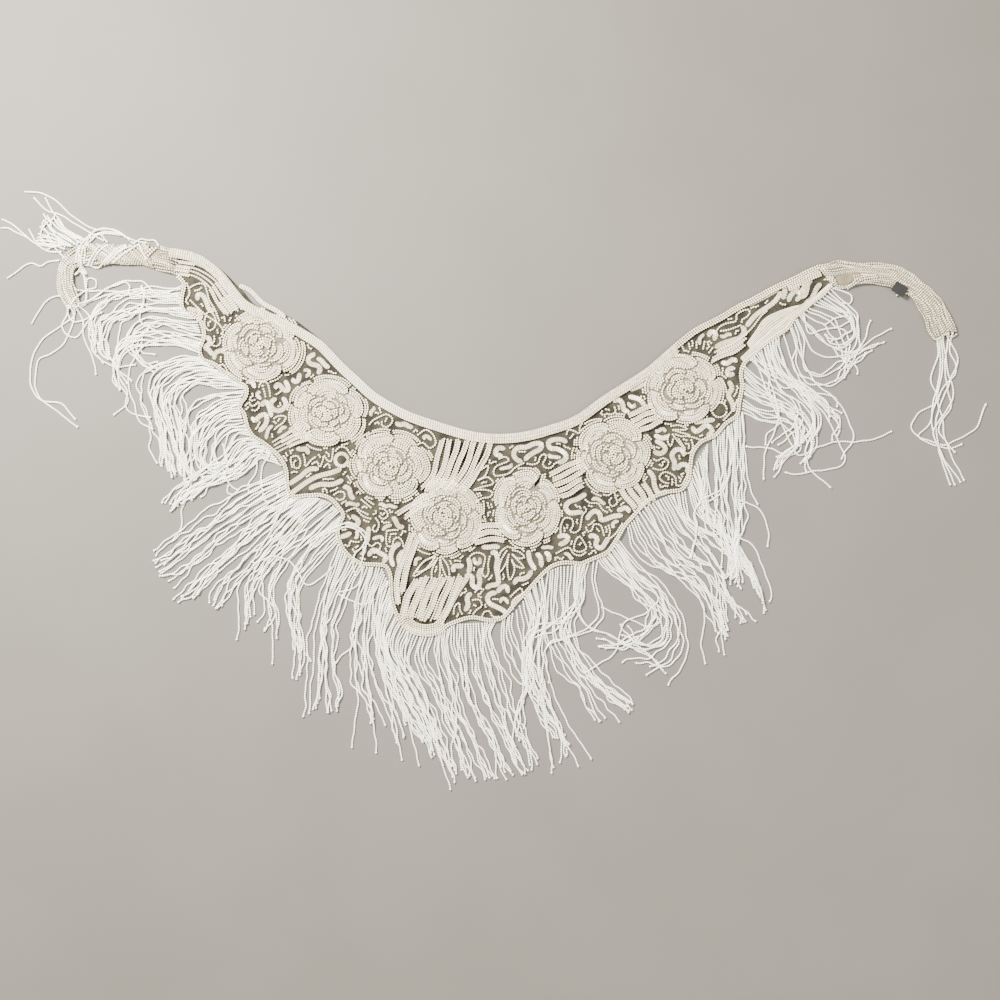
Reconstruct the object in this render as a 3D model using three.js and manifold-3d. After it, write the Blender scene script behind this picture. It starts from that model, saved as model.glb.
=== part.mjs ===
// Beaded fringed collar, laid open and flat. Millimetres, +Z up, origin on the floor under the net's middle.
import * as THREE from 'three';
import * as BufferGeometryUtils from 'three/addons/utils/BufferGeometryUtils.js';
import Module from 'manifold-3d';

const wasm = await Module();
wasm.setup();

// Driving dimensions
const GAP = 0.4; // clearance between neighbouring solids
const NET_WALL = 1.1; // net ground with the stitches under it
const BAND_WIDTH = 13; // four beaded rows along the neck
const BAND_HEIGHT = 2.6;
const EDGING_WIDTH = 6; // beaded rows along the hem
const EDGING_HEIGHT = 2.0;
const FLAT_BORDER = 1.0; // flat net on past the band and the edging
const STRAND_LAYER = 2.4; // one layer of bead strands
const HEAD_WIDTH = 3.2; // strip that carries the strands along the hem
const STRAP_HEIGHT = 6.0;
const STEM_HEIGHT = 1.7;
const INNER_ROWS = 3; // rows of the net between its two borders
const KEEP_OUT_DEPTH = 40;
const SINK = 3; // how far a raised piece is made below the net before the net's shape is cut from it
const FOLD_LIMIT = 6; // most that folds lift the net where they meet
const BORDER_CROWN = 0.6; // height of a border's edges against its middle
const STRAP_CLEARANCE = 0.6; // from a strap's edge to the strands beside it
const WELD = 1e-4; // vertices nearer than this are one
const HAIR = 1e-6; // smallest step that counts in the planar tests
const MITRE_LIMIT = 0.5; // sharpest corner that an offset line follows

// Sections across the net, left to right: a point on the neck edge and one on the scalloped hem
const NET_SECTIONS = [
  { neck: [-352, 266.5], hem: [-345, 234] },
  { neck: [-344, 265.5], hem: [-341, 214] },
  { neck: [-334, 263.5], hem: [-338, 197] },
  { neck: [-322, 260], hem: [-322, 186] },
  { neck: [-311, 253.5], hem: [-318, 172] },
  { neck: [-300, 245.5], hem: [-320.5, 154] },
  { neck: [-289, 236.5], hem: [-316, 142] },
  { neck: [-277, 224], hem: [-296, 130] },
  { neck: [-264, 209], hem: [-274, 113] },
  { neck: [-252, 200.5], hem: [-276, 93] },
  { neck: [-240, 199], hem: [-271, 74] },
  { neck: [-228, 194.5], hem: [-261, 57] },
  { neck: [-213, 186], hem: [-238, 39] },
  { neck: [-200, 176.5], hem: [-226, 21] },
  { neck: [-186, 165], hem: [-221, -7] },
  { neck: [-172, 151.5], hem: [-192, -8] },
  { neck: [-160, 139], hem: [-169.5, -26] },
  { neck: [-147, 127], hem: [-168, -46] },
  { neck: [-134, 115], hem: [-162, -68] },
  { neck: [-122, 105], hem: [-140, -83] },
  { neck: [-110, 97.5], hem: [-113, -87] },
  { neck: [-98, 91], hem: [-110, -112] },
  { neck: [-86, 85], hem: [-104, -138] },
  { neck: [-72, 80], hem: [-84, -158] },
  { neck: [-56, 74.5], hem: [-58, -159] },
  { neck: [-38, 69], hem: [-38, -147] },
  { neck: [-20, 64.5], hem: [-14, -143] },
  { neck: [0, 62], hem: [10, -144] },
  { neck: [20, 62], hem: [25, -132] },
  { neck: [38, 64], hem: [42, -113] },
  { neck: [54, 68], hem: [58, -94] },
  { neck: [70, 73], hem: [80, -82] },
  { neck: [86, 78.5], hem: [106, -80] },
  { neck: [102, 87.5], hem: [132, -68] },
  { neck: [122, 102], hem: [147, -46] },
  { neck: [140, 114], hem: [165, -23] },
  { neck: [157, 124], hem: [190, -6] },
  { neck: [172, 135], hem: [216, 2] },
  { neck: [186, 147], hem: [224, 32] },
  { neck: [203, 161.5], hem: [238, 54] },
  { neck: [220, 175], hem: [268, 78] },
  { neck: [238, 184], hem: [278, 102] },
  { neck: [256, 194], hem: [279, 132] },
  { neck: [280, 209], hem: [295, 151] },
  { neck: [305, 221.5], hem: [322, 172] },
  { neck: [330, 233], hem: [341, 192] },
  { neck: [346, 241], hem: [360, 208] },
  { neck: [360, 247], hem: [378, 224] },
];

// Soft folds of the net: a ridge line with its height and how far it spreads
const FOLDS = [
  { from: [262, 160], to: [352, 228], height: 5.0, spread: 9 },
  { from: [268, 136], to: [362, 214], height: 4.0, spread: 8 },
  { from: [-322, 246], to: [-272, 196], height: 3.5, spread: 11 },
  { from: [-262, 112], to: [-200, 132], height: 3.5, spread: 12 },
  { from: [-232, 44], to: [-138, 66], height: 3.5, spread: 12 },
  { from: [-170, -18], to: [-90, -6], height: 3.5, spread: 12 },
  { from: [-52, 48], to: [-30, 8], height: 2.5, spread: 12 },
  { from: [-96, -70], to: [-66, -138], height: 2.5, spread: 14 },
  { from: [62, 52], to: [92, -62], height: 2.5, spread: 16 },
  { from: [180, 96], to: [176, 4], height: 2.5, spread: 16 },
];

// Raised roses: centre, half width and height, turn of the petals
const ROSES = [
  { x: -252, y: 158, rx: 42, ry: 39, turn: 0.2 },
  { x: -178, y: 85, rx: 40, ry: 35, turn: 0.9 },
  { x: -110, y: 30, rx: 41, ry: 36, turn: 0.5 },
  { x: -50, y: -30, rx: 39, ry: 41, turn: 1.2 },
  { x: 40, y: -20, rx: 36, ry: 41, turn: 0.0 },
  { x: 135, y: 38, rx: 41, ry: 39, turn: 0.7 },
  { x: 212, y: 110, rx: 41, ry: 37, turn: 0.3 },
];
const ROSE_SIDES = 15;
const PETALS = 5;
const PETAL_DEPTH = 0.06;
const ROSE_RINGS = [
  { reach: 0.16, height: 3.8 },
  { reach: 0.42, height: 2.7 },
  { reach: 0.7, height: 3.3 },
  { reach: 1.0, height: 1.5 },
];
const ROSE_BUD_HEIGHT = 3.0;
const STEM_PROFILE = [
  { share: 0, lift: 0.7 },
  { share: 0.25, lift: 1 },
  { share: 0.5, lift: 0.8 },
  { share: 0.75, lift: 1 },
  { share: 1, lift: 0.7 },
];

// Bundles of parallel beaded rows: centre line with a width at each point
const STEM_BUNDLES = [
  { spine: [[-24, 52, 52], [-32, 36, 42], [-38, 17, 26]] },
  { spine: [[-64, -78, 44], [-74, -104, 46], [-80, -128, 44], [-82, -146, 30]] },
  { spine: [[78, 14, 22], [92, 0, 20], [96, -14, 14]] },
  { spine: [[178, 84, 16], [184, 66, 22], [190, 52, 20]] },
  { spine: [[-4, -44, 12], [-6, -62, 18], [-10, -78, 14]] },
  { spine: [[-214, 58, 14], [-196, 44, 20], [-180, 34, 16]] },
];

// Tie straps: outer and inner edge of each section, from the net to the free end
const LEFT_STRAP = [
  { outer: [-352.5, 266.5], inner: [-345.5, 233.9] },
  { outer: [-363, 268.5], inner: [-358, 239.5] },
  { outer: [-380, 271], inner: [-379, 247] },
  { outer: [-400, 270], inner: [-400, 247.5] },
  { outer: [-420, 270], inner: [-417, 248] },
  { outer: [-441, 271], inner: [-432, 246] },
  { outer: [-457, 268], inner: [-444, 249] },
  { outer: [-468, 258], inner: [-453, 247] },
  { outer: [-475, 242], inner: [-456, 237] },
  { outer: [-476, 226], inner: [-456, 226] },
  { outer: [-472, 211], inner: [-452, 214] },
  { outer: [-465, 199.5], inner: [-449, 201.5] },
];
const RIGHT_STRAP = [
  { outer: [360.4, 247.3], inner: [378.4, 224.3] },
  { outer: [372, 250.5], inner: [387, 221.5] },
  { outer: [392, 251], inner: [402, 225] },
  { outer: [412, 249.5], inner: [416, 226] },
  { outer: [432, 249], inner: [432, 224.5] },
  { outer: [449, 246], inner: [444, 221.5] },
  { outer: [466, 236], inner: [456, 215.5] },
  { outer: [481, 224], inner: [466, 206.5] },
  { outer: [495, 210], inner: [474, 194.5] },
  { outer: [505, 192], inner: [480, 176] },
  { outer: [513, 174.5], inner: [487, 164.5] },
];
// Across a strap: underside and top as shares of its height
const STRAP_PROFILE = [
  { share: 0, low: 0.3, high: 0.55 },
  { share: 0.14, low: 0, high: 0.9 },
  { share: 0.5, low: 0, high: 1 },
  { share: 0.86, low: 0, high: 0.9 },
  { share: 1, low: 0.3, high: 0.55 },
];

// Plain tab folded over the right strap's inner edge
const LABEL = { x: 449, y: 220, length: 15, width: 12, height: 0.9, turn: -0.55 };

// Locks of the fringe, with the net sections that their head runs between. A column is a section of the lock:
// x and y of its left edge, then of its right edge
const FRINGE_GROUPS = [
  {
    name: 'fringe_1', hemFrom: 0, hemTo: 7.7,
    locks: [
      { root: [-338, 226, -340, 204], upper: [-384, 221, -384, 205], middle: [-424, 211, -418, 195],
        lower: [-445, 184, -426, 172], tips: [-438, 154, -422, 147] },
      { root: [-338, 206, -322, 188], upper: [-382, 201, -370, 194], middle: [-424, 189, -407, 180],
        lower: [-440, 163, -414, 152], tips: [-419, 137, -400, 134] },
      { root: [-320, 188, -316, 168], upper: [-370, 190, -356, 179], middle: [-398, 172, -385, 170],
        lower: [-396, 152, -382, 150], tips: [-366, 130, -362, 140] },
      { root: [-316, 168, -319, 150], upper: [-356, 174, -356, 161], middle: [-398, 167, -394, 160],
        lower: [-414, 140, -406, 134], tips: [-402, 100, -394, 108] },
      { root: [-317, 152, -302, 134], upper: [-362, 142, -344, 132], middle: [-382, 112, -364, 106],
        lower: [-366, 66, -354, 64], tips: [-358, 14, -347, 8] },
      { root: [-302, 136, -284, 122], upper: [-344, 131, -328, 124], middle: [-368, 98, -352, 94],
        lower: [-356, 54, -344, 52], tips: [-345, 4, -336, -2] },
      { root: [-286, 124, -270, 113], upper: [-330, 124, -312, 115], middle: [-354, 96, -340, 88],
        lower: [-346, 50, -334, 52], tips: [-338, 12, -330, 18] },
    ],
  },
  {
    name: 'fringe_2', hemFrom: 8.1, hemTo: 13.2,
    locks: [
      { root: [-267, 108, -277, 92], upper: [-306, 106, -300, 88], middle: [-332, 78, -318, 66],
        lower: [-336, 42, -322, 42], tips: [-330, 10, -317, 12] },
      { root: [-276, 92, -270, 76], upper: [-304, 84, -292, 74], middle: [-322, 52, -306, 54],
        lower: [-323, 26, -311, 30], tips: [-303, 15, -292, 21] },
      { root: [-270, 76, -261, 60], upper: [-296, 68, -284, 60],
        lower: [-304, 40, -290, 44], tips: [-296, 22, -283, 30] },
      { root: [-261, 59, -244, 45], upper: [-284, 47, -270, 40], middle: [-300, 26, -284, 22],
        lower: [-326, 13, -314, 6], tips: [-352, -20, -342, -24] },
      { root: [-244, 46, -227, 26], upper: [-270, 40, -256, 32], middle: [-288, 20, -276, 13],
        lower: [-318, 7, -306, 1], tips: [-350, -23, -336, -30] },
    ],
  },
  {
    name: 'fringe_3', hemFrom: 13.5, hemTo: 19.6,
    locks: [
      { root: [-226, 22, -222, 0], upper: [-262, 3, -256, -14], middle: [-300, -16, -292, -40],
        lower: [-338, -46, -326, -68], tips: [-376, -74, -366, -98] },
      { root: [-222, 0, -216, -9], upper: [-260, -20, -254, -30], middle: [-298, -48, -288, -60],
        lower: [-334, -74, -322, -92], tips: [-368, -90, -356, -118] },
      { root: [-217, -8, -203, -9], upper: [-254, -32, -240, -38], middle: [-290, -66, -272, -66],
        lower: [-324, -98, -300, -96], tips: [-352, -126, -320, -128] },
      { root: [-203, -8, -188, -8], upper: [-240, -44, -222, -44], middle: [-272, -76, -252, -76],
        lower: [-302, -102, -274, -108], tips: [-316, -122, -296, -138] },
      { root: [-188, -8, -170, -18], upper: [-226, -46, -208, -46], middle: [-256, -84, -236, -80],
        lower: [-271, -120, -250, -116], tips: [-274, -162, -260, -154] },
      { root: [-171, -17, -161, -28], upper: [-206, -42, -194, -54], middle: [-236, -78, -222, -82],
        lower: [-246, -116, -234, -120], tips: [-240, -190, -234, -166] },
      { root: [-162, -28, -169, -46], upper: [-198, -60, -192, -66], middle: [-226, -98, -208, -92],
        lower: [-230, -140, -208, -134], tips: [-228, -180, -204, -188] },
      { root: [-169, -46, -166, -60], upper: [-198, -74, -186, -80], middle: [-220, -114, -203, -112],
        lower: [-218, -160, -198, -160], tips: [-212, -230, -196, -206] },
      { root: [-167, -58, -155, -76], upper: [-180, -92, -167, -104], middle: [-190, -136, -178, -142],
        lower: [-194, -186, -182, -186], tips: [-199, -255, -188, -250] },
      { root: [-156, -75, -138, -84], upper: [-172, -110, -154, -112], middle: [-184, -150, -166, -148],
        lower: [-180, -196, -172, -196], tips: [-182, -250, -163, -247] },
    ],
  },
  {
    name: 'fringe_4', hemFrom: 19.9, hemTo: 23.8,
    locks: [
      { root: [-137, -84, -119, -86], upper: [-146, -118, -130, -120], middle: [-152, -162, -139, -162],
        lower: [-148, -208, -136, -208], tips: [-133, -262, -118, -264] },
      { root: [-119, -86, -111, -105], upper: [-131, -122, -117, -134], middle: [-134, -164, -120, -168],
        lower: [-124, -210, -108, -212], tips: [-100, -290, -82, -290] },
      { root: [-111, -106, -105, -136], upper: [-122, -142, -114, -158], middle: [-121, -180, -106, -190],
        lower: [-102, -224, -86, -230], tips: [-74, -284, -60, -286] },
      { root: [-105, -138, -85, -158], upper: [-116, -162, -93, -180], middle: [-102, -202, -76, -216],
        lower: [-76, -248, -60, -256], tips: [-54, -312, -40, -316] },
      { root: [-85, -158, -60, -159], upper: [-93, -184, -66, -186], middle: [-74, -222, -50, -218],
        lower: [-54, -268, -36, -262], tips: [-36, -324, -20, -322] },
    ],
  },
  {
    name: 'fringe_5', hemFrom: 24.1, hemTo: 29.7,
    locks: [
      { root: [-59, -159, -39, -148], upper: [-60, -188, -38, -186], middle: [-42, -232, -26, -230],
        lower: [-26, -274, -4, -276], tips: [-8, -326, 12, -320] },
      { root: [-39, -148, -12, -144], upper: [-36, -186, -9, -186], middle: [-22, -230, 4, -228],
        lower: [2, -272, 20, -270], tips: [20, -322, 38, -318] },
      { root: [-12, -144, 8, -145], upper: [-8, -186, 8, -184], middle: [8, -228, 24, -226],
        lower: [24, -270, 38, -268], tips: [40, -318, 58, -308] },
      { root: [8, -145, 26, -133], upper: [12, -176, 33, -172], middle: [34, -206, 40, -206],
        lower: [54, -238, 50, -236], tips: [70, -308, 84, -300] },
      { root: [26, -133, 44, -111], upper: [34, -170, 48, -160], middle: [37, -210, 42, -206],
        lower: [30, -246, 38, -240], tips: [26, -290, 34, -292] },
      { root: [36, -119, 58, -95], upper: [43, -156, 57, -138], middle: [44, -198, 50, -186],
        lower: [60, -240, 66, -236], tips: [90, -300, 110, -298] },
    ],
  },
  {
    name: 'fringe_6', hemFrom: 30.0, hemTo: 36.7,
    locks: [
      { root: [60, -93, 77, -84], upper: [61, -134, 76, -130], middle: [66, -178, 84, -172],
        lower: [94, -214, 106, -210], tips: [118, -258, 136, -258] },
      { root: [76, -84, 92, -83], upper: [77, -128, 88, -128], middle: [84, -174, 97, -172],
        lower: [110, -214, 116, -204], tips: [146, -248, 160, -234] },
      { root: [92, -83, 106, -81], upper: [91, -122, 103, -116], middle: [84, -154, 94, -150],
        lower: [104, -198, 112, -192], tips: [150, -250, 163, -238] },
      { root: [104, -81, 119, -77], upper: [105, -118, 122, -122], middle: [90, -146, 108, -150],
        lower: [52, -162, 66, -164], tips: [52, -216, 62, -216] },
      { root: [119, -76, 131, -70], upper: [148, -107, 160, -102], middle: [172, -128, 183, -132],
        lower: [170, -154, 178, -158], tips: [118, -172, 124, -164] },
      { root: [131, -70, 143, -54], upper: [164, -104, 174, -94], middle: [190, -130, 204, -132],
        lower: [194, -164, 209, -164], tips: [146, -189, 182, -214] },
      { root: [143, -54, 164, -26], upper: [164, -82, 185, -64], middle: [208, -102, 220, -92],
        lower: [234, -136, 250, -122], tips: [252, -172, 262, -174] },
      { root: [164, -26, 181, -13], upper: [186, -62, 202, -52], middle: [220, -92, 234, -80],
        lower: [246, -120, 256, -106], tips: [258, -176, 268, -172] },
      { root: [181, -13, 201, -4], upper: [204, -54, 222, -38], middle: [234, -82, 254, -68],
        lower: [258, -112, 262, -108], tips: [280, -138, 298, -146] },
      { root: [200, -5, 217, 0], upper: [214, -36, 224, -32], middle: [244, -60, 254, -52],
        lower: [280, -92, 290, -82], tips: [292, -130, 304, -140] },
    ],
  },
  {
    name: 'fringe_7', hemFrom: 37.1, hemTo: 41.7,
    locks: [
      { root: [217, 3, 225, 30], upper: [228, -20, 238, -16], middle: [236, -36, 248, -36],
        lower: [264, -54, 272, -50], tips: [284, -84, 294, -80] },
      { root: [226, 30, 241, 53], upper: [234, 6, 243, 14], middle: [238, -24, 250, -22],
        lower: [256, -52, 264, -52], tips: [266, -84, 272, -82] },
      { root: [241, 53, 262, 71], upper: [246, 20, 262, 28], middle: [252, -14, 264, -12],
        lower: [260, -56, 270, -52], tips: [260, -102, 272, -100] },
      { root: [262, 71, 277, 88], upper: [266, 30, 280, 42], middle: [266, -12, 279, -8],
        lower: [268, -56, 277, -54], tips: [264, -104, 279, -112] },
      { root: [278, 84, 279, 100], upper: [306, 76, 308, 88], middle: [334, 66, 340, 74],
        lower: [338, 44, 346, 48], tips: [296, 40, 302, 48] },
      { root: [278, 100, 278, 118], upper: [306, 92, 306, 102], middle: [332, 84, 338, 90],
        lower: [344, 54, 350, 56], tips: [332, 22, 342, 18] },
    ],
  },
  {
    name: 'fringe_8', hemFrom: 42.1, hemTo: 46.9,
    locks: [
      { root: [279, 120, 282, 140], upper: [312, 106, 318, 116], middle: [344, 90, 352, 98],
        lower: [352, 56, 362, 60], tips: [342, 38, 350, 32] },
      { root: [284, 142, 297, 153], upper: [308, 122, 318, 126], middle: [338, 108, 346, 112],
        lower: [366, 96, 370, 102], tips: [380, 84, 390, 90] },
      { root: [297, 153, 311, 163], upper: [303, 118, 312, 124], middle: [312, 86, 322, 88],
        lower: [314, 62, 320, 66], tips: [294, 46, 300, 40] },
      { root: [311, 163, 326, 176], upper: [314, 134, 326, 140], middle: [336, 112, 348, 116],
        lower: [372, 112, 376, 120], tips: [396, 136, 402, 130] },
      { root: [326, 176, 342, 193], upper: [334, 140, 348, 148], middle: [356, 118, 364, 128],
        lower: [392, 132, 398, 144], tips: [438, 162, 442, 172] },
      { root: [342, 193, 358, 206], upper: [364, 168, 376, 178],
        lower: [390, 142, 400, 152], tips: [414, 124, 416, 130] },
      { root: [358, 206, 376, 223], upper: [380, 190, 390, 206], middle: [396, 174, 404, 180],
        lower: [392, 152, 403, 150], tips: [392, 128, 400, 128] },
    ],
  },
];
const FORK_GAP = 0.16; // share of a lock's width left open between its two tips
const TIP_SHARE = 0.55; // width of the tips against the charted lock

// Loose bead strings: centre line with a width at each point
const TASSEL_LEFT = {
  head: [[-457.5, 200.2, 15], [-458, 194, 13]],
  strings: [
    [[-456, 196, 6], [-464, 178, 5], [-494, 158, 5], [-506, 134, 5],
      [-500, 104, 6], [-474, 86, 10], [-454, 71, 12]],
    [[-460, 196, 5], [-470, 184, 4], [-466, 171, 4], [-452, 170, 4], [-447, 176, 4]],
  ],
};
const TASSEL_RIGHT = {
  head: [[500, 169, 24], [498.5, 161, 20]],
  strings: [
    [[494, 162, 7], [491, 136, 7], [489, 112, 7], [474, 84, 7],
      [468, 62, 7], [492, 51, 7], [520, 58, 6], [545, 94, 4]],
    [[504, 162, 7], [503, 136, 8], [497, 108, 7], [501, 86, 7], [496, 60, 7], [506, 34, 7], [519, 4, 7]],
    [[499, 162, 5], [510, 134, 5], [509, 104, 5], [490, 78, 5], [488, 52, 5], [500, 24, 5], [508, 8, 4]],
  ],
};
const WRAPPED_STRANDS = {
  head: [[-460, 264, 14], [-470, 271, 20]],
  strings: [
    [[-476, 270, 7], [-497, 270, 6], [-518, 282, 5], [-538, 292, 9]],
    [[-473, 272, 10], [-484, 288, 12], [-496, 303, 16], [-508, 326, 14]],
    [[-470, 273, 7], [-476, 290, 8], [-482, 306, 8], [-491, 323, 7]],
  ],
};

// Finishes
const FINISHES = {
  net: { color: 0xb9b09c, roughness: 0.85 },
  beads: { color: 0xe9e3d2, roughness: 0.4 },
  sequins: { color: 0xdedac8, roughness: 0.35 },
  strap: { color: 0xe2dac5, roughness: 0.45 },
  fringe: { color: 0xefeade, roughness: 0.35 },
  label: { color: 0x17171a, roughness: 0.7 },
};

const vec = (x, y, z) => new THREE.Vector3(x, y, z);

/** Closed slab between a top and an underside, given as columns of matching rows. */
function slab(columns) {
  const rows = columns[0].top.length;
  const positions = [];
  for (const column of columns) {
    for (const point of [...column.top, ...column.under]) positions.push(point.x, point.y, point.z);
  }
  const top = (i, j) => i * 2 * rows + j;
  const under = (i, j) => top(i, j) + rows;
  const indices = [];
  const quad = (a, b, c, d) => indices.push(a, b, c, a, c, d);
  for (let i = 0; i < columns.length - 1; i += 1) {
    for (let j = 0; j < rows - 1; j += 1) {
      quad(top(i, j), top(i + 1, j), top(i + 1, j + 1), top(i, j + 1));
      quad(under(i, j), under(i, j + 1), under(i + 1, j + 1), under(i + 1, j));
    }
    quad(top(i, 0), under(i, 0), under(i + 1, 0), top(i + 1, 0));
    const last = rows - 1;
    quad(top(i, last), top(i + 1, last), under(i + 1, last), under(i, last));
  }
  const end = columns.length - 1;
  for (let j = 0; j < rows - 1; j += 1) {
    quad(top(0, j), top(0, j + 1), under(0, j + 1), under(0, j));
    quad(top(end, j), under(end, j), under(end, j + 1), top(end, j + 1));
  }
  return facingOut(indexedGeometry(positions, indices));
}

/** Geometry from flat lists of positions and indices. */
function indexedGeometry(positions, indices) {
  const geometry = new THREE.BufferGeometry();
  geometry.setAttribute('position', new THREE.Float32BufferAttribute(positions, 3));
  geometry.setIndex(indices);
  return geometry;
}

/** Upright block over a planar outline. */
function extrude(outline, depth) {
  return new THREE.ExtrudeGeometry(new THREE.Shape(outline), { depth, bevelEnabled: false });
}

/** Signed volume of a closed geometry. */
function signedVolume(geometry) {
  const position = geometry.getAttribute('position');
  const index = geometry.getIndex();
  const [a, b, c] = [vec(0, 0, 0), vec(0, 0, 0), vec(0, 0, 0)];
  let total = 0;
  for (let k = 0; k < index.count; k += 3) {
    a.fromBufferAttribute(position, index.getX(k));
    b.fromBufferAttribute(position, index.getX(k + 1));
    c.fromBufferAttribute(position, index.getX(k + 2));
    total += a.dot(b.cross(c)) / 6;
  }
  return total;
}

/** The same geometry with its faces turned outwards. */
function facingOut(geometry) {
  if (signedVolume(geometry) > 0) return geometry;
  const index = geometry.getIndex();
  for (let k = 0; k < index.count; k += 3) {
    const first = index.getX(k);
    index.setX(k, index.getX(k + 1));
    index.setX(k + 1, first);
  }
  return geometry;
}

/** Solid of the boolean library from a closed geometry. */
function toSolid(geometry) {
  const plain = geometry.clone();
  plain.deleteAttribute('normal');
  plain.deleteAttribute('uv');
  const merged = BufferGeometryUtils.mergeVertices(plain, WELD);
  return new wasm.Manifold(new wasm.Mesh({
    numProp: 3,
    vertProperties: new Float32Array(merged.getAttribute('position').array),
    triVerts: new Uint32Array(merged.getIndex().array),
  }));
}

/** Geometry back from a solid of the boolean library. */
function toGeometry(solid) {
  const mesh = solid.getMesh();
  return indexedGeometry(Array.from(mesh.vertProperties), Array.from(mesh.triVerts));
}

/** Largest connected part of a solid. */
function mainPart(solid) {
  const parts = solid.decompose();
  return parts.reduce((best, part) => (part.volume() > best.volume() ? part : best));
}

/** Points of a planar polyline moved sideways, mitred at its corners. */
function offsetLine(points, distance) {
  return points.map((point, i) => {
    const before = points[Math.max(i - 1, 0)];
    const after = points[Math.min(i + 1, points.length - 1)];
    const first = new THREE.Vector2().subVectors(point, before).normalize();
    const second = new THREE.Vector2().subVectors(after, point).normalize();
    if (first.lengthSq() === 0) first.copy(second);
    if (second.lengthSq() === 0) second.copy(first);
    const along = new THREE.Vector2().addVectors(first, second).normalize();
    const reach = distance / Math.max(MITRE_LIMIT, along.dot(first));
    return new THREE.Vector2(point.x + along.y * reach, point.y - along.x * reach);
  });
}

const flat = ([x, y]) => new THREE.Vector2(x, y);
const NECK = NET_SECTIONS.map((row) => flat(row.neck));
const HEM = NET_SECTIONS.map((row) => flat(row.hem));

/** Point of the hem at a fractional section number. */
function hemPoint(line, station) {
  const i = Math.min(Math.floor(station), line.length - 2);
  return line[i].clone().lerp(line[i + 1], station - i);
}

/** Distance from a point to a segment. */
function distanceToSegment(point, from, to) {
  const span = new THREE.Vector2().subVectors(to, from);
  const share = new THREE.Vector2().subVectors(point, from).dot(span) / span.lengthSq();
  return point.distanceTo(from.clone().addScaledVector(span, THREE.MathUtils.clamp(share, 0, 1)));
}

/** Lift of the net where its folds stand up. */
function foldHeight(point) {
  return FOLDS.reduce((lift, fold) => {
    const away = distanceToSegment(point, flat(fold.from), flat(fold.to)) / fold.spread;
    return lift + fold.height * Math.exp(-away * away);
  }, 0);
}

/** Rows of points across the net at one section, flat along both borders. */
function netRow(neck, hem) {
  const span = neck.distanceTo(hem);
  const first = BAND_WIDTH + FLAT_BORDER;
  const last = span - EDGING_WIDTH - FLAT_BORDER;
  const steps = [0, first];
  for (let k = 1; k <= INNER_ROWS; k += 1) steps.push(first + ((last - first) * k) / (INNER_ROWS + 1));
  steps.push(last, span);
  return steps.map((distance, k) => {
    const point = neck.clone().lerp(hem, distance / span);
    const border = k <= 1 || k >= steps.length - 2;
    return vec(point.x, point.y, border ? 0 : Math.min(foldHeight(point), FOLD_LIMIT));
  });
}

const NET_GRID = NECK.map((neck, i) => netRow(neck, HEM[i]));

/** Height of the net's upper side over a point, on the same facets as the net itself. */
function netTop(x, y) {
  const weights = vec(0, 0, 0);
  const target = vec(x, y, 0);
  const level = (point) => vec(point.x, point.y, 0);
  for (let i = 0; i < NET_GRID.length - 1; i += 1) {
    for (let j = 0; j < NET_GRID[0].length - 1; j += 1) {
      const [a, d] = [NET_GRID[i][j], NET_GRID[i][j + 1]];
      const [b, c] = [NET_GRID[i + 1][j], NET_GRID[i + 1][j + 1]];
      for (const corners of [[a, b, c], [a, c, d]]) {
        if (!THREE.Triangle.getBarycoord(target, ...corners.map(level), weights)) continue;
        if (Math.min(weights.x, weights.y, weights.z) < -HAIR) continue;
        return NET_WALL + weights.dot(vec(...corners.map((corner) => corner.z)));
      }
    }
  }
  return NET_WALL;
}

const group = new THREE.Group();

/** Adds one named mesh with a material of its own. */
function addMesh(name, geometry, finish) {
  const material = new THREE.MeshStandardMaterial({ ...FINISHES[finish], metalness: 0 });
  geometry.computeVertexNormals();
  const mesh = new THREE.Mesh(geometry, material);
  mesh.name = name;
  group.add(mesh);
}

/** Net ground: a thin wall through all the sections. */
function netGround() {
  return slab(NET_GRID.map((row) => ({
    top: row.map((point) => vec(point.x, point.y, point.z + NET_WALL)),
    under: row.map((point) => point.clone()),
  })));
}

/** Everything from the net's upper side, with its clearance, downwards. */
function netBelow() {
  return toSolid(slab(NET_GRID.map((row) => ({
    top: row.map((point) => vec(point.x, point.y, point.z + NET_WALL + GAP)),
    under: row.map((point) => vec(point.x, point.y, -KEEP_OUT_DEPTH)),
  }))));
}

/** Beaded border on the net, crowned along its middle, between two distances from one edge. */
function border(edge, opposite, width, height) {
  const lift = NET_WALL + GAP;
  return slab(edge.map((from, i) => {
    const inward = new THREE.Vector2().subVectors(opposite[i], from).normalize();
    const at = (share, z) => {
      const point = from.clone().addScaledVector(inward, width * share);
      return vec(point.x, point.y, lift + z);
    };
    return {
      top: [at(0, BORDER_CROWN * height), at(0.5, height), at(1, BORDER_CROWN * height)],
      under: [at(0, 0), at(0.5, 0), at(1, 0)],
    };
  }));
}

/** Space kept free for a border, at any height. */
function borderSpace(edge, opposite, width) {
  return toSolid(slab(edge.map((from, i) => {
    const inward = new THREE.Vector2().subVectors(opposite[i], from).normalize();
    const at = (away, z) => vec(from.x + inward.x * away, from.y + inward.y * away, z);
    return {
      top: [at(-GAP, KEEP_OUT_DEPTH), at(width + GAP, KEEP_OUT_DEPTH)],
      under: [at(-GAP, -KEEP_OUT_DEPTH), at(width + GAP, -KEEP_OUT_DEPTH)],
    };
  })));
}

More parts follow.
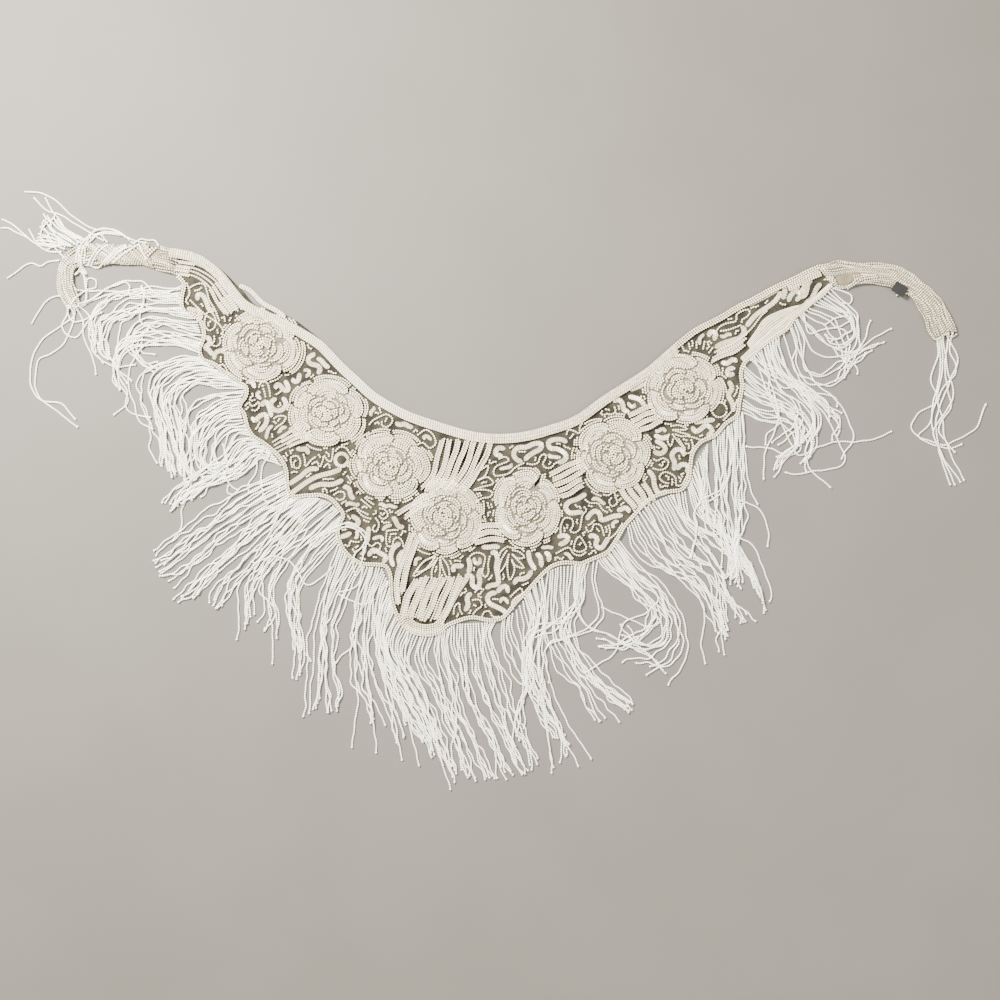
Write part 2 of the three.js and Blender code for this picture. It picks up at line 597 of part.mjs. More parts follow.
/** Rose: petalled rings over the net. */
function rose({ x, y, rx, ry, turn }) {
  const positions = [];
  const indices = [];
  const outline = (angle) => 1 + PETAL_DEPTH * Math.cos(PETALS * (angle - turn));
  const rings = [];
  const addRing = (reach, lift) => {
    const start = positions.length / 3;
    for (let k = 0; k < ROSE_SIDES; k += 1) {
      const angle = (2 * Math.PI * k) / ROSE_SIDES;
      const radius = reach * outline(angle);
      const [px, py] = [x + rx * radius * Math.cos(angle), y + ry * radius * Math.sin(angle)];
      positions.push(px, py, netTop(px, py) + GAP + lift);
    }
    rings.push(start);
  };
  ROSE_RINGS.forEach(({ reach, height }) => addRing(reach, height));
  addRing(1, -SINK);
  const bud = positions.length / 3;
  positions.push(x, y, netTop(x, y) + GAP + ROSE_BUD_HEIGHT);
  positions.push(x, y, netTop(x, y) - SINK);
  for (let k = 0; k < ROSE_SIDES; k += 1) {
    const next = (k + 1) % ROSE_SIDES;
    indices.push(bud, rings[0] + k, rings[0] + next);
    for (let ring = 0; ring < rings.length - 1; ring += 1) {
      const [inner, outer] = [rings[ring], rings[ring + 1]];
      indices.push(inner + k, outer + k, outer + next, inner + k, outer + next, inner + next);
    }
    indices.push(bud + 1, rings[rings.length - 1] + next, rings[rings.length - 1] + k);
  }
  return facingOut(indexedGeometry(positions, indices));
}

/** Space kept free for a rose, at any height. */
function roseSpace({ x, y, rx, ry, turn }) {
  const outline = Array.from({ length: ROSE_SIDES }, (_, k) => {
    const angle = (2 * Math.PI * k) / ROSE_SIDES;
    const reach = 1 + PETAL_DEPTH * Math.cos(PETALS * (angle - turn));
    const [growX, growY] = [rx * reach + GAP, ry * reach + GAP];
    return new THREE.Vector2(x + growX * Math.cos(angle), y + growY * Math.sin(angle));
  });
  return toSolid(extrude(outline, KEEP_OUT_DEPTH).translate(0, 0, -KEEP_OUT_DEPTH / 2));
}

/** Left and right edges of a route given by its centre line and widths. */
function routeEdges(spine) {
  return spine.map(([x, y, width], i) => {
    const [ax, ay] = spine[Math.max(i - 1, 0)];
    const [bx, by] = spine[Math.min(i + 1, spine.length - 1)];
    const along = new THREE.Vector2(bx - ax, by - ay).normalize();
    const [dx, dy] = [(-along.y * width) / 2, (along.x * width) / 2];
    return [x + dx, y + dy, x - dx, y - dy];
  });
}

/** Bundle of beaded rows that follows the net, with a groove along its middle. */
function stemBundle(spine) {
  return slab(routeEdges(spine).map(([ax, ay, bx, by]) => {
    const at = (share, lift) => {
      const [px, py] = [ax + (bx - ax) * share, ay + (by - ay) * share];
      return vec(px, py, netTop(px, py) + GAP + lift);
    };
    return {
      top: STEM_PROFILE.map(({ share, lift }) => at(share, lift * STEM_HEIGHT)),
      under: STEM_PROFILE.map(({ share }) => at(share, -SINK)),
    };
  }));
}

/** Padded strap: flat underneath, rounded over its edges. */
function strap(sections) {
  return slab(sections.map(({ outer, inner }) => {
    const at = (share, z) => {
      const point = flat(outer).lerp(flat(inner), share);
      return vec(point.x, point.y, z);
    };
    return {
      top: STRAP_PROFILE.map(({ share, high }) => at(share, high * STRAP_HEIGHT)),
      under: STRAP_PROFILE.map(({ share, low }) => at(share, low * STRAP_HEIGHT)),
    };
  }));
}

/** Whether two planar segments cross. */
function cross(a, b, c, d) {
  const side = (p, q, r) => Math.sign((q.x - p.x) * (r.y - p.y) - (q.y - p.y) * (r.x - p.x));
  return side(a, b, c) !== side(a, b, d) && side(c, d, a) !== side(c, d, b);
}

/** Flat strip on the floor between two edges, grown by a margin on every side. */
function strip(edges, height, margin = 0) {
  const ends = edges.map(([ax, ay, bx, by]) => {
    const across = new THREE.Vector2(bx - ax, by - ay).normalize().multiplyScalar(margin);
    return [new THREE.Vector2(ax, ay).sub(across), new THREE.Vector2(bx, by).add(across)];
  });
  return ends.slice(1).reduce((solid, [c, d], k) => {
    const [a, b] = ends[k];
    const corners = cross(a, c, b, d) ? [a, b, c, d] : [a, b, d, c];
    const piece = toSolid(extrude(corners, height + 2 * margin).translate(0, 0, -margin));
    return solid ? solid.add(piece) : piece;
  }, null);
}

/** The part of a section between two shares of its width. */
function between([ax, ay, bx, by], from, to) {
  const at = (share) => [ax + (bx - ax) * share, ay + (by - ay) * share];
  return [...at(from), ...at(to)];
}

/** One lock: a whole strip from its root, forked into two narrower tips. */
function lock(row, margin) {
  const sections = Object.values(row);
  const fork = sections.length - 3;
  const whole = strip(sections.slice(0, fork + 2), STRAND_LAYER, margin);
  const middle = (1 - FORK_GAP) / 2;
  const ends = sections.slice(fork);
  const edgeShare = (1 - TIP_SHARE) / 4;
  const edge = (section) => (section === row.tips ? edgeShare : 0);
  const left = ends.map((section) => between(section, edge(section), middle));
  const right = ends.map((section) => between(section, 1 - middle, 1 - edge(section)));
  return whole.add(strip(left, STRAND_LAYER, margin)).add(strip(right, STRAND_LAYER, margin));
}

/** Strip along the hem that carries the locks, between two section numbers. */
function fringeHead(hemFrom, hemTo, margin) {
  const near = offsetLine(HEM, GAP);
  const far = offsetLine(HEM, GAP + HEAD_WIDTH);
  const stations = [hemFrom];
  for (let station = Math.ceil(hemFrom + HAIR); station < hemTo; station += 1) stations.push(station);
  stations.push(hemTo);
  const edges = stations.map((station) => {
    const [a, b] = [hemPoint(near, station), hemPoint(far, station)];
    return [a.x, a.y, b.x, b.y];
  });
  return strip(edges, STRAND_LAYER, margin);
}

/** Space kept free for the net with its borders, at any height. */
function netSpace() {
  const inner = offsetLine(NECK, -GAP);
  const outer = offsetLine(HEM, GAP);
  return toSolid(slab(inner.map((a, i) => ({
    top: [vec(a.x, a.y, KEEP_OUT_DEPTH), vec(outer[i].x, outer[i].y, KEEP_OUT_DEPTH)],
    under: [vec(a.x, a.y, -KEEP_OUT_DEPTH), vec(outer[i].x, outer[i].y, -KEEP_OUT_DEPTH)],
  }))));
}

/** Space kept free for a strap. */
function strapSpace(sections) {
  return strip(sections.map(({ outer, inner }) => [...outer, ...inner]), STRAP_HEIGHT, STRAP_CLEARANCE);
}

/** All the locks of one group on their head. */
function fringeGroup({ hemFrom, hemTo, locks }, margin) {
  return locks.reduce((solid, row) => solid.add(lock(row, margin)), fringeHead(hemFrom, hemTo, margin));
}

/** Strings fused to a small head. */
function tassel({ head, strings }, margin = 0) {
  return strings.reduce(
    (solid, spine) => solid.add(strip(routeEdges(spine), STRAND_LAYER, margin)),
    strip(routeEdges(head), STRAND_LAYER, margin),
  );
}

/** Plain tab that lies on the strap and over its edge. */
function labelTab() {
  const geometry = new THREE.BoxGeometry(LABEL.length, LABEL.width, LABEL.height);
  geometry.rotateZ(LABEL.turn);
  geometry.translate(LABEL.x, LABEL.y, STRAP_HEIGHT + GAP + LABEL.height / 2);
  return geometry;
}

addMesh('net_ground', netGround(), 'net');
addMesh('neckline_band', border(NECK, HEM, BAND_WIDTH, BAND_HEIGHT), 'beads');
addMesh('hem_edging', border(HEM, NECK, EDGING_WIDTH, EDGING_HEIGHT), 'beads');
const belowNet = netBelow().add(borderSpace(NECK, HEM, BAND_WIDTH)).add(borderSpace(HEM, NECK, EDGING_WIDTH));
const onNet = (geometry, space) => toGeometry(mainPart(toSolid(geometry).subtract(space)));
ROSES.forEach((row, i) => addMesh(`rose_${i + 1}`, onNet(rose(row), belowNet), 'sequins'));
const besideRoses = ROSES.reduce((space, row) => space.add(roseSpace(row)), belowNet);
STEM_BUNDLES.forEach(({ spine }, i) => {
  addMesh(`stem_bundle_${i + 1}`, onNet(stemBundle(spine), besideRoses), 'beads');
});
addMesh('strap_left', strap(LEFT_STRAP), 'strap');
addMesh('strap_right', strap(RIGHT_STRAP), 'strap');
addMesh('label_tab', labelTab(), 'label');

let taken = netSpace().add(strapSpace(LEFT_STRAP)).add(strapSpace(RIGHT_STRAP));
for (const row of FRINGE_GROUPS) {
  addMesh(row.name, toGeometry(mainPart(fringeGroup(row, 0).subtract(taken))), 'fringe');
  taken = taken.add(fringeGroup(row, GAP));
}
for (const [name, row] of [
  ['tassel_left', TASSEL_LEFT],
  ['tassel_right', TASSEL_RIGHT],
  ['wrapped_strands', WRAPPED_STRANDS],
]) {
  addMesh(name, toGeometry(mainPart(tassel(row).subtract(taken))), 'fringe');
}

export default group;
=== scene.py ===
"""Beaded fringed collar laid open and flat: sheer net, embroidered roses, bead fringe and tie straps.

Charts hold x and y by turns, in millimetres in the collar's own frame; meshes are in metres.
"""

import logging
import math
import random
from dataclasses import dataclass, field
from enum import Enum

import bpy
import numpy as np
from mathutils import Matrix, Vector
from mathutils.bvhtree import BVHTree
from mathutils.geometry import delaunay_2d_cdt


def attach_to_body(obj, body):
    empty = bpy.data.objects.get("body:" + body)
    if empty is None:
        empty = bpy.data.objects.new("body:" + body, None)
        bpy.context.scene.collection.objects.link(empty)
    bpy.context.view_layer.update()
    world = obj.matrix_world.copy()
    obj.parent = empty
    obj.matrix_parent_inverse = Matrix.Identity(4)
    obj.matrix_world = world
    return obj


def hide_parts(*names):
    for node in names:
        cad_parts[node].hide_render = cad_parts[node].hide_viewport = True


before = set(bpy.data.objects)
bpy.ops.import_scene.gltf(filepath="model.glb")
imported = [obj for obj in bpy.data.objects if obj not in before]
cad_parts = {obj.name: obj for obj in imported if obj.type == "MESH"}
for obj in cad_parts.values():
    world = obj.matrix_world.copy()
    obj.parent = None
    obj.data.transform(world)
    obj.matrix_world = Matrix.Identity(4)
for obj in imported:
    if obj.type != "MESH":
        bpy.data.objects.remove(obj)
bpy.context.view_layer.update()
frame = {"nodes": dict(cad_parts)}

logging.basicConfig(level=logging.INFO, format="%(message)s")
log = logging.getLogger("collar")

MM = 0.001
UP = np.array([0.0, 0.0, 1.0])
BODY = "root"
TINY = 1e-9
LEAST_GAP = 1e-6

Chart = tuple[float, ...]


class RowKind(Enum):
    """What a row on the net is made of."""

    BEADS = "beads"
    FINE_BEADS = "fine beads"
    SEQUINS = "sequins"
    SLIM_SEQUINS = "slim sequins"
    RIB = "rib of crosswise beads"
    SEAM = "seam of tiny beads"


BEAD_SIDES = 4
# A bead of four sides is wider by this than a round one, so that it looks as thick
SQUARE_WIDER = math.sqrt(1.6)


@dataclass(frozen=True)
class BeadSize:
    """Size of the beads of a string, in millimetres."""

    pitch: float
    radius: float
    waist: float = 0.5

    def ring_radii(self, count: int) -> np.ndarray:
        """Radius of every ring of a string that has two rings for each bead.

        Args:
            count: How many rings the string has.

        Returns:
            The radii, narrow where two beads meet.
        """
        radii = np.full(count, self.radius * SQUARE_WIDER)
        radii[::2] *= self.waist
        return radii


@dataclass(frozen=True)
class SequinSize:
    """Size of a ribbon of overlapping sequins, in millimetres."""

    pitch: float
    width: float
    lip: float = 0.8
    tuck: float = 0.4


ROW_BEADS = {
    RowKind.BEADS: BeadSize(2.8, 1.18, 0.4),
    RowKind.FINE_BEADS: BeadSize(2.7, 1.08, 0.4),
    RowKind.SEAM: BeadSize(2.6, 0.7, 0.4),
}
ROW_SEQUINS = {
    RowKind.SEQUINS: SequinSize(2.7, 5.6, 1.2, 0.3),
    RowKind.SLIM_SEQUINS: SequinSize(2.6, 4.2, 1.1, 0.3),
    RowKind.RIB: SequinSize(2.6, 3.2, 1.6, 0.6),
}
SEQUIN_WIDTH = ROW_SEQUINS[RowKind.SEQUINS].width
FRINGE_BEADS = BeadSize(2.5, 0.95, 0.6)
STRAP_BEADS = BeadSize(2.6, 1.0, 0.4)
LARGE_BEADS = BeadSize(2.9, 1.35, 0.4)
FOLD_THREAD = BeadSize(5.0, 0.42, 0.85)
# A string with a wider waist than this is a thread, with no painted shade at its waists
THREAD_WAIST = 0.8

# Corners across a sequin: place, rise and painted light, low at both edges for painted shade there
SEQUIN_ACROSS = np.array([1.0, 0.79, -0.79, -1.0])
SEQUIN_RISE = np.array([0.0, 1.0, 1.0, 0.0])
SEQUIN_PAINTED_LIGHT = np.array([0.1, 1.0, 1.0, 0.1])
# Painted light at a sequin's low, tucked end, for painted shade there
TUCKED_PAINTED_LIGHT = 0.25
# Both ends of a sequin as shares of the pitch
SEQUIN_ENDS = (0.08, 0.94)
LAST_LIP = 0.3
# How many sequins a ribbon takes to reach its full width, and the least it begins with
SEQUIN_TAPER = 1.1
LEAST_TAPER = 0.12

IVORY, PEARL = 0, 1
# Name of each corner's painted light: 0 gives painted shade in a seam, 1 the full tone
PAINTED_LIGHT = "painted_light"
RAIL_STEPS = 60
SHORTEST_RUN = 4

NECK: Chart = (
    -352, 266.5, -340, 264.5, -330, 262.5, -320, 259, -310, 253, -300, 245.5, -290, 237.5, -280, 227, -270,
    217, -262, 207, -252, 200.5, -240, 199.5, -230, 195.5, -220, 190, -210, 184, -200, 176.5, -180, 160,
    -160, 139, -140, 120.5, -130, 111, -120, 103.5, -110, 97.5, -90, 87, -70, 79.5, -50, 73, -30, 67, -10,
    63, 10, 61.8, 30, 63, 50, 67, 70, 73, 80, 76, 90, 80, 100, 86, 120, 101, 150, 120, 170, 133, 190, 150,
    210, 167, 220, 175, 230, 181, 250, 191, 270, 203, 290, 213, 310, 224, 330, 233, 350, 243, 360, 247,
)
BAND_LEFT: Chart = (
    -352, 266.5, -340, 264.5, -330, 262.5, -320, 259, -310, 253, -300, 245.5, -290, 236, -279, 222, -267,
    208, -254.5, 201, -241, 195, -225, 187, -210, 180, -200, 174,
)
HEM: Chart = (
    -345, 234, -338, 226, -340, 215, -341, 207, -340, 200, -335, 193, -325, 190, -320, 185, -317, 178, -316,
    170, -318, 163, -321, 155, -320, 148, -317, 142, -305, 137, -290, 125, -280, 117, -269, 111, -270, 103,
    -275, 97, -277, 90, -272, 83, -270, 75, -268, 68, -262, 58, -250, 50, -240, 42, -232, 34, -226, 22,
    -225, 10, -224, 0, -219, -8, -200, -8, -185, -8, -175, -12, -168, -20, -163, -28, -166, -34, -169, -42,
    -166, -60, -155, -75, -140, -83, -125, -84, -115, -86, -112, -92, -111, -105, -110, -120, -107, -131,
    -98, -148, -85, -158, -70, -161, -55, -158, -45, -150, -38, -147, -20, -142, 0, -145, 15, -142, 22,
    -135, 30, -125, 40, -115, 50, -104, 60, -93, 70, -85, 80, -82, 90, -82, 100, -83, 110, -79, 120, -75,
    130, -70, 138, -60, 143, -52, 150, -40, 160, -29, 165, -23, 178, -11, 196, -4, 212, -1, 220, 11, 222,
    25, 225, 41, 233, 51, 248, 58, 261, 72, 273, 81, 276, 97, 279, 114, 278, 130, 281, 138, 290, 146, 300,
    156, 315, 167, 329, 177, 337, 189, 345, 195, 350, 200, 360, 208, 368, 214, 374, 221, 378, 224,
)


@dataclass(frozen=True)
class Lock:
    """A lock of the fringe: two rails from root to tips and how many strands hang between them."""

    group: int
    strands: int
    left: Chart
    right: Chart


LOCKS = (
    Lock(1, 6, (-340, 222, -362, 219, -405, 222, -446, 185, -437, 152),
         (-341, 203, -405, 203, -428, 186, -420, 160, -422, 146)),
    Lock(1, 7, (-340, 202, -405, 197, -438, 178, -440, 162, -418, 138),
         (-322, 187, -370, 196, -408, 180, -412, 165, -414, 142, -400, 136)),
    Lock(1, 6, (-321, 186, -390, 180, -397, 165, -372, 134, -360, 132),
         (-317, 168, -375, 180, -385, 172, -384, 147, -362, 138)),
    Lock(1, 6, (-317, 166, -335, 172, -412, 152, -412, 122, -402, 104),
         (-318, 148, -335, 156, -378, 163, -396, 161, -412, 140, -396, 112)),
    Lock(1, 8, (-318, 146, -340, 146, -376, 126, -366, 66, -357, 22),
         (-302, 133, -322, 138, -360, 122, -366, 104, -362, 84, -347, 16)),
    Lock(1, 8, (-300, 132, -322, 136, -362, 116, -368, 98, -362, 76, -345, 6),
         (-284, 121, -305, 127, -348, 112, -354, 96, -350, 76, -337, 2)),
    Lock(1, 7, (-284, 121, -306, 126, -350, 110, -356, 92, -350, 72, -337, 12),
         (-268, 111, -290, 112, -334, 113, -345, 100, -343, 82, -330, 20)),
    Lock(2, 8, (-268, 110, -326, 93, -336, 60, -330, 10),
         (-277, 93, -292, 91, -316, 72, -322, 44, -322, 18, -316, 10)),
    Lock(2, 7, (-276, 92, -308, 80, -314, 16, -304, 16), (-271, 76, -284, 77, -310, 28, -290, 20)),
    Lock(2, 7, (-271, 75, -297, 66, -302, 28, -284, 23, -276, 30),
         (-262, 59, -275, 62, -290, 36, -284, 28)),
    Lock(2, 7, (-262, 58, -276, 56, -292, 34, -316, 20, -342, -4, -352, -22),
         (-246, 47, -262, 46, -280, 28, -332, -6, -340, -22)),
    Lock(2, 9, (-244, 46, -258, 48, -276, 28, -324, 4, -350, -22),
         (-228, 26, -256, 34, -264, 24, -318, 0, -332, -12)),
    Lock(3, 9, (-227, 22, -304, -18, -376, -74), (-223, 2, -276, -26, -294, -42, -366, -96)),
    Lock(3, 4, (-223, 0, -262, -22, -336, -76, -350, -86, -368, -90),
         (-220, -8, -256, -30, -340, -104, -357, -116)),
    Lock(3, 7, (-219, -9, -238, -20, -308, -84, -352, -124), (-205, -9, -276, -64, -326, -124)),
    Lock(3, 7, (-204, -9, -288, -90, -304, -102, -316, -122), (-190, -8, -254, -74, -296, -138)),
    Lock(3, 7, (-190, -8, -258, -86, -270, -104, -272, -140, -274, -162),
         (-173, -15, -210, -42, -238, -78, -262, -112, -264, -148)),
    Lock(3, 5, (-172, -17, -250, -112, -246, -132, -258, -154),
         (-165, -24, -216, -68, -242, -116, -236, -136, -235, -166)),
    Lock(3, 5, (-163, -28, -200, -60, -230, -140, -226, -158, -228, -178),
         (-169, -44, -198, -68, -214, -104, -210, -126, -210, -148, -198, -192)),
    Lock(3, 4, (-169, -45, -198, -72, -222, -135, -220, -158, -214, -216),
         (-167, -58, -206, -114, -200, -160, -196, -182, -204, -206)),
    Lock(3, 6, (-167, -58, -184, -110, -199, -250), (-157, -74, -180, -142, -183, -188, -190, -245)),
    Lock(3, 6, (-156, -75, -184, -150, -180, -172, -182, -248),
         (-138, -84, -162, -128, -174, -195, -163, -245)),
    Lock(4, 5, (-137, -84, -146, -118, -148, -208, -138, -232, -132, -260),
         (-120, -85, -138, -140, -138, -208, -118, -262)),
    Lock(4, 6, (-119, -85, -126, -102, -124, -210, -114, -236, -100, -284),
         (-111, -104, -116, -118, -102, -236, -84, -262)),
    Lock(4, 10, (-111, -106, -121, -140, -120, -180, -100, -225, -72, -280),
         (-106, -135, -116, -158, -97, -210, -62, -278)),
    Lock(4, 9, (-105, -138, -116, -162, -102, -200, -64, -272, -52, -306),
         (-85, -158, -93, -180, -78, -214, -42, -312)),
    Lock(4, 7, (-84, -158, -92, -184, -74, -222, -36, -324), (-61, -160, -67, -184, -50, -218, -22, -318)),
    Lock(5, 9, (-60, -160, -62, -176, -48, -212, -6, -324),
         (-38, -147, -40, -166, -32, -208, -28, -230, -4, -276, 14, -318)),
    Lock(5, 9, (-37, -147, -38, -166, -28, -208, -12, -252, 2, -272, 22, -320),
         (-11, -146, -8, -186, 12, -248, 36, -316)),
    Lock(5, 6, (-10, -146, -6, -186, 1, -206, 42, -314),
         (8, -144, 1, -156, 4, -172, 26, -232, 32, -254, 56, -306)),
    Lock(5, 5, (12, -144, 12, -176, 34, -206, 80, -276),
         (26, -134, 26, -150, 32, -164, 36, -198, 72, -276)),
    Lock(5, 5, (27, -134, 37, -208, 26, -268, 28, -290),
         (44, -110, 52, -146, 46, -162, 44, -180, 34, -270)),
    Lock(5, 7, (36, -120, 44, -138, 42, -156, 42, -198, 60, -240, 74, -262, 82, -300),
         (58, -94, 60, -114, 52, -150, 46, -168, 50, -190, 90, -290)),
    Lock(6, 5, (62, -90, 64, -178, 78, -200, 94, -214, 102, -236, 118, -258),
         (76, -84, 76, -150, 136, -260)),
    Lock(6, 4, (76, -84, 78, -128, 78, -150, 110, -216, 124, -234, 148, -248),
         (92, -83, 86, -128, 114, -204, 134, -214, 160, -232)),
    Lock(6, 5, (92, -83, 92, -122, 76, -156, 88, -178, 152, -252),
         (106, -80, 100, -100, 102, -118, 90, -150, 110, -194, 163, -240)),
    Lock(6, 4, (98, -83, 94, -104, 94, -122, 84, -138, 44, -157, 40, -222),
         (110, -79, 104, -100, 102, -120, 66, -152, 44, -161, 42, -180, 48, -230)),
    Lock(6, 2, (112, -78, 110, -100, 114, -140, 102, -154, 60, -170, 56, -216),
         (120, -76, 118, -98, 126, -122, 124, -142, 66, -176, 64, -218)),
    Lock(6, 2, (92, -83, 104, -151, 125, -160, 187, -198, 194, -208),
         (95, -82, 94, -110, 108, -148, 128, -156, 174, -180, 190, -194, 201, -197)),
    Lock(6, 5, (118, -76, 126, -88, 156, -114, 170, -126, 168, -152, 150, -157, 115, -167),
         (128, -71, 185, -142, 148, -176, 118, -174)),
    Lock(6, 6, (128, -71, 156, -104, 192, -152, 186, -166, 174, -170, 140, -141),
         (140, -58, 160, -92, 192, -126, 196, -164, 142, -189)),
    Lock(6, 4, (136, -62, 164, -96, 182, -112, 204, -168, 188, -184, 152, -190),
         (142, -54, 172, -92, 190, -108, 208, -184, 182, -216)),
    Lock(6, 6, (150, -42, 154, -62, 186, -94, 208, -100, 238, -146, 252, -164),
         (163, -26, 184, -62, 238, -106, 258, -142, 260, -164)),
    Lock(6, 6, (163, -26, 200, -74, 246, -118, 256, -176), (180, -13, 210, -64, 244, -88, 264, -152)),
    Lock(6, 7, (180, -13, 212, -66, 244, -92, 256, -110, 296, -148),
         (200, -4, 222, -38, 252, -66, 258, -104, 262, -150)),
    Lock(6, 5, (200, -5, 204, -20, 284, -94, 292, -110),
         (216, -1, 222, -32, 268, -60, 292, -90, 304, -142)),
    Lock(7, 8, (217, 2, 226, -26, 278, -66, 298, -104, 300, -132),
         (225, 28, 232, 12, 244, -38, 256, -48, 292, -104)),
    Lock(7, 7, (226, 30, 232, 12, 236, -38, 250, -50, 276, -84, 280, -104),
         (240, 52, 240, -8, 254, -44, 268, -80, 264, -100)),
    Lock(7, 7, (243, 54, 252, -22, 252, -40, 268, -78, 262, -102), (262, 70, 260, 30, 272, -98)),
    Lock(7, 2, (261, 70, 264, 44, 252, 1, 223, -21, 225, -40, 215, -80),
         (263, 71, 267, 44, 255, -2, 227, -24, 229, -42, 220, -79)),
    Lock(7, 6, (264, 72, 272, -38, 262, -104), (278, 86, 279, 42, 276, -42, 272, -62, 276, -86, 277, -114)),
    Lock(7, 5, (279, 138, 292, 126, 354, 84, 358, 48, 350, 32), (279, 122, 348, 46, 340, 20)),
    Lock(7, 5, (279, 119, 294, 108, 312, 102, 346, 64, 342, 46, 326, 36, 310, 12),
         (279, 104, 308, 90, 336, 76, 334, 46, 320, 36, 312, 24)),
    Lock(7, 5, (278, 101, 308, 84, 326, 80, 344, 56, 340, 26, 342, 18),
         (276, 84, 306, 74, 322, 74, 338, 52, 326, 44, 308, 46, 288, 44)),
    Lock(8, 5, (284, 142, 296, 132, 348, 106, 382, 66, 378, 50), (296, 152, 306, 138, 368, 104, 391, 88)),
    Lock(8, 5, (297, 153, 302, 136, 306, 100, 318, 72, 300, 56, 294, 48),
         (312, 164, 314, 146, 334, 118, 346, 108, 356, 76, 344, 44)),
    Lock(8, 6, (300, 156, 306, 140, 330, 114, 344, 104, 358, 72, 346, 40),
         (318, 170, 324, 134, 362, 102, 374, 96, 378, 82, 382, 83)),
    Lock(8, 4, (328, 178, 334, 158, 334, 138, 362, 116, 380, 120, 392, 132, 420, 158),
         (337, 188, 346, 168, 350, 130, 362, 126, 378, 134, 408, 154, 436, 164)),
    Lock(8, 4, (340, 192, 350, 178, 374, 158, 412, 128),
         (352, 201, 384, 188, 402, 160, 382, 118, 360, 112)),
    Lock(8, 7, (354, 203, 398, 184, 400, 172, 368, 172, 366, 184),
         (376, 222, 402, 190, 403, 174, 394, 130, 384, 122)),
)

# Single strands that stray from their lock, root first, under the number of the fringe group
STRAYS: dict[int, tuple[Chart, ...]] = {
    1: (
        (-318, 150, -340, 158, -368, 160, -392, 156, -406, 140, -408, 120, -398, 98, -415, 83),
        (-318, 156, -350, 164, -384, 168, -404, 150, -408, 128, -400, 108, -400, 90, -372, 80),
        (-316, 170, -346, 170, -380, 158, -398, 112, -390, 92, -384, 76, -370, 66),
        (-284, 122, -318, 122, -342, 106, -338, 46, -328, 10, -340, -25, -339, -40, -348, -58),
        (-341, 212, -370, 213, -425, 213, -456, 198),
        (-338, 224, -366, 215, -384, 230, -400, 231, -430, 214, -459, 197),
        (-339, 221, -356, 222, -372, 224, -394, 216, -420, 218, -456, 221),
        (-338, 210, -352, 216, -368, 217, -382, 216, -383, 226, -380, 214, -394, 191, -408, 186),
        (-338, 206, -360, 212, -384, 212, -396, 215, -395, 225, -399, 229, -410, 226, -438, 209, -452, 203),
        (-316, 160, -350, 168, -386, 190, -380, 204, -378, 220),
    ),
    2: (
        (-262, 58, -276, 48, -290, 14, -284, 4, -276, -1, -280, -5, -288, -4, -288, 6),
        (-246, 47, -256, 34, -258, 18, -264, 6, -264, -4),
        (-240, 42, -250, 26, -250, -4, -247, -13, -240, -12, -231, 8),
        (-276, 94, -300, 84, -324, 60, -322, 34, -306, 24, -290, 34, -294, 52),
    ),
    3: (
        (-169, -44, -196, -56, -236, -95, -242, -122, -240, -150, -239, -193),
        (-222, -8, -244, -50, -260, -80, -238, -72, -225, -75, -212, -90, -200, -105, -188, -98, -172, -84),
        (-138, -84, -148, -108, -168, -112, -140, -125, -126, -120),
        (-140, -84, -150, -150, -152, -172, -165, -182, -174, -195),
        (-172, -42, -155, -36, -137, -52, -141, -62, -148, -70, -147, -95),
        (-173, -46, -160, -41, -139, -50, -142, -86),
    ),
    4: (
        (-130, -85, -140, -120, -148, -200, -146, -240, -152, -284),
        (-122, -86, -134, -130, -138, -170, -128, -250, -126, -290),
        (-112, -100, -122, -140, -120, -190, -108, -240, -97, -298),
        (-109, -126, -116, -160, -104, -210, -90, -255, -78, -305),
        (-104, -140, -112, -172, -94, -220, -62, -288),
        (-90, -155, -94, -190, -74, -240, -56, -286, -43, -331),
    ),
    5: (
        (40, -115, 52, -150, 48, -200, 60, -250, 70, -306),
        (48, -106, 58, -140, 52, -190, 60, -240, 68, -312),
        (54, -100, 60, -130, 54, -180, 66, -240, 99, -305),
        (57, -96, 62, -130, 58, -180, 76, -236, 111, -298),
    ),
    6: (
        (130, -70, 150, -96, 180, -130, 184, -144, 176, -150, 162, -144, 150, -141, 122, -129),
        (139, -60, 164, -96, 184, -122, 176, -132, 148, -147, 138, -175, 104, -202),
        (164, -24, 214, -105, 230, -120, 236, -140, 233, -175, 236, -192),
        (170, -18, 196, -66, 236, -106, 252, -140, 258, -182),
    ),
    7: (
        (277, 86, 284, 15, 288, -5, 294, -18),
        (272, 80, 270, 4, 270, -10, 283, -14, 298, -24, 307, -54, 305, -63),
        (270, 80, 270, -30, 275, -52, 285, -58, 304, -95, 308, -116, 306, -124),
    ),
    8: (
        (290, 146, 322, 70, 340, 38, 360, 48, 375, 52, 425, 56, 442, 65),
        (314, 166, 332, 120, 356, 80, 348, 35, 352, 24, 376, 2),
        (322, 172, 346, 110, 376, 70, 388, 30, 352, 20, 335, 17, 323, 18),
        (296, 152, 310, 110, 318, 80, 302, 40, 300, 10),
        (330, 178, 356, 120, 392, 84, 398, 53, 390, 42, 385, 33),
        (337, 188, 360, 150, 392, 148, 428, 170, 442, 178), (340, 192, 370, 160, 400, 152, 419, 187),
        (376, 222, 398, 211, 397, 205, 385, 205),
        (344, 194, 352, 172, 366, 176, 384, 180, 396, 188, 380, 189, 366, 182),
    ),
}

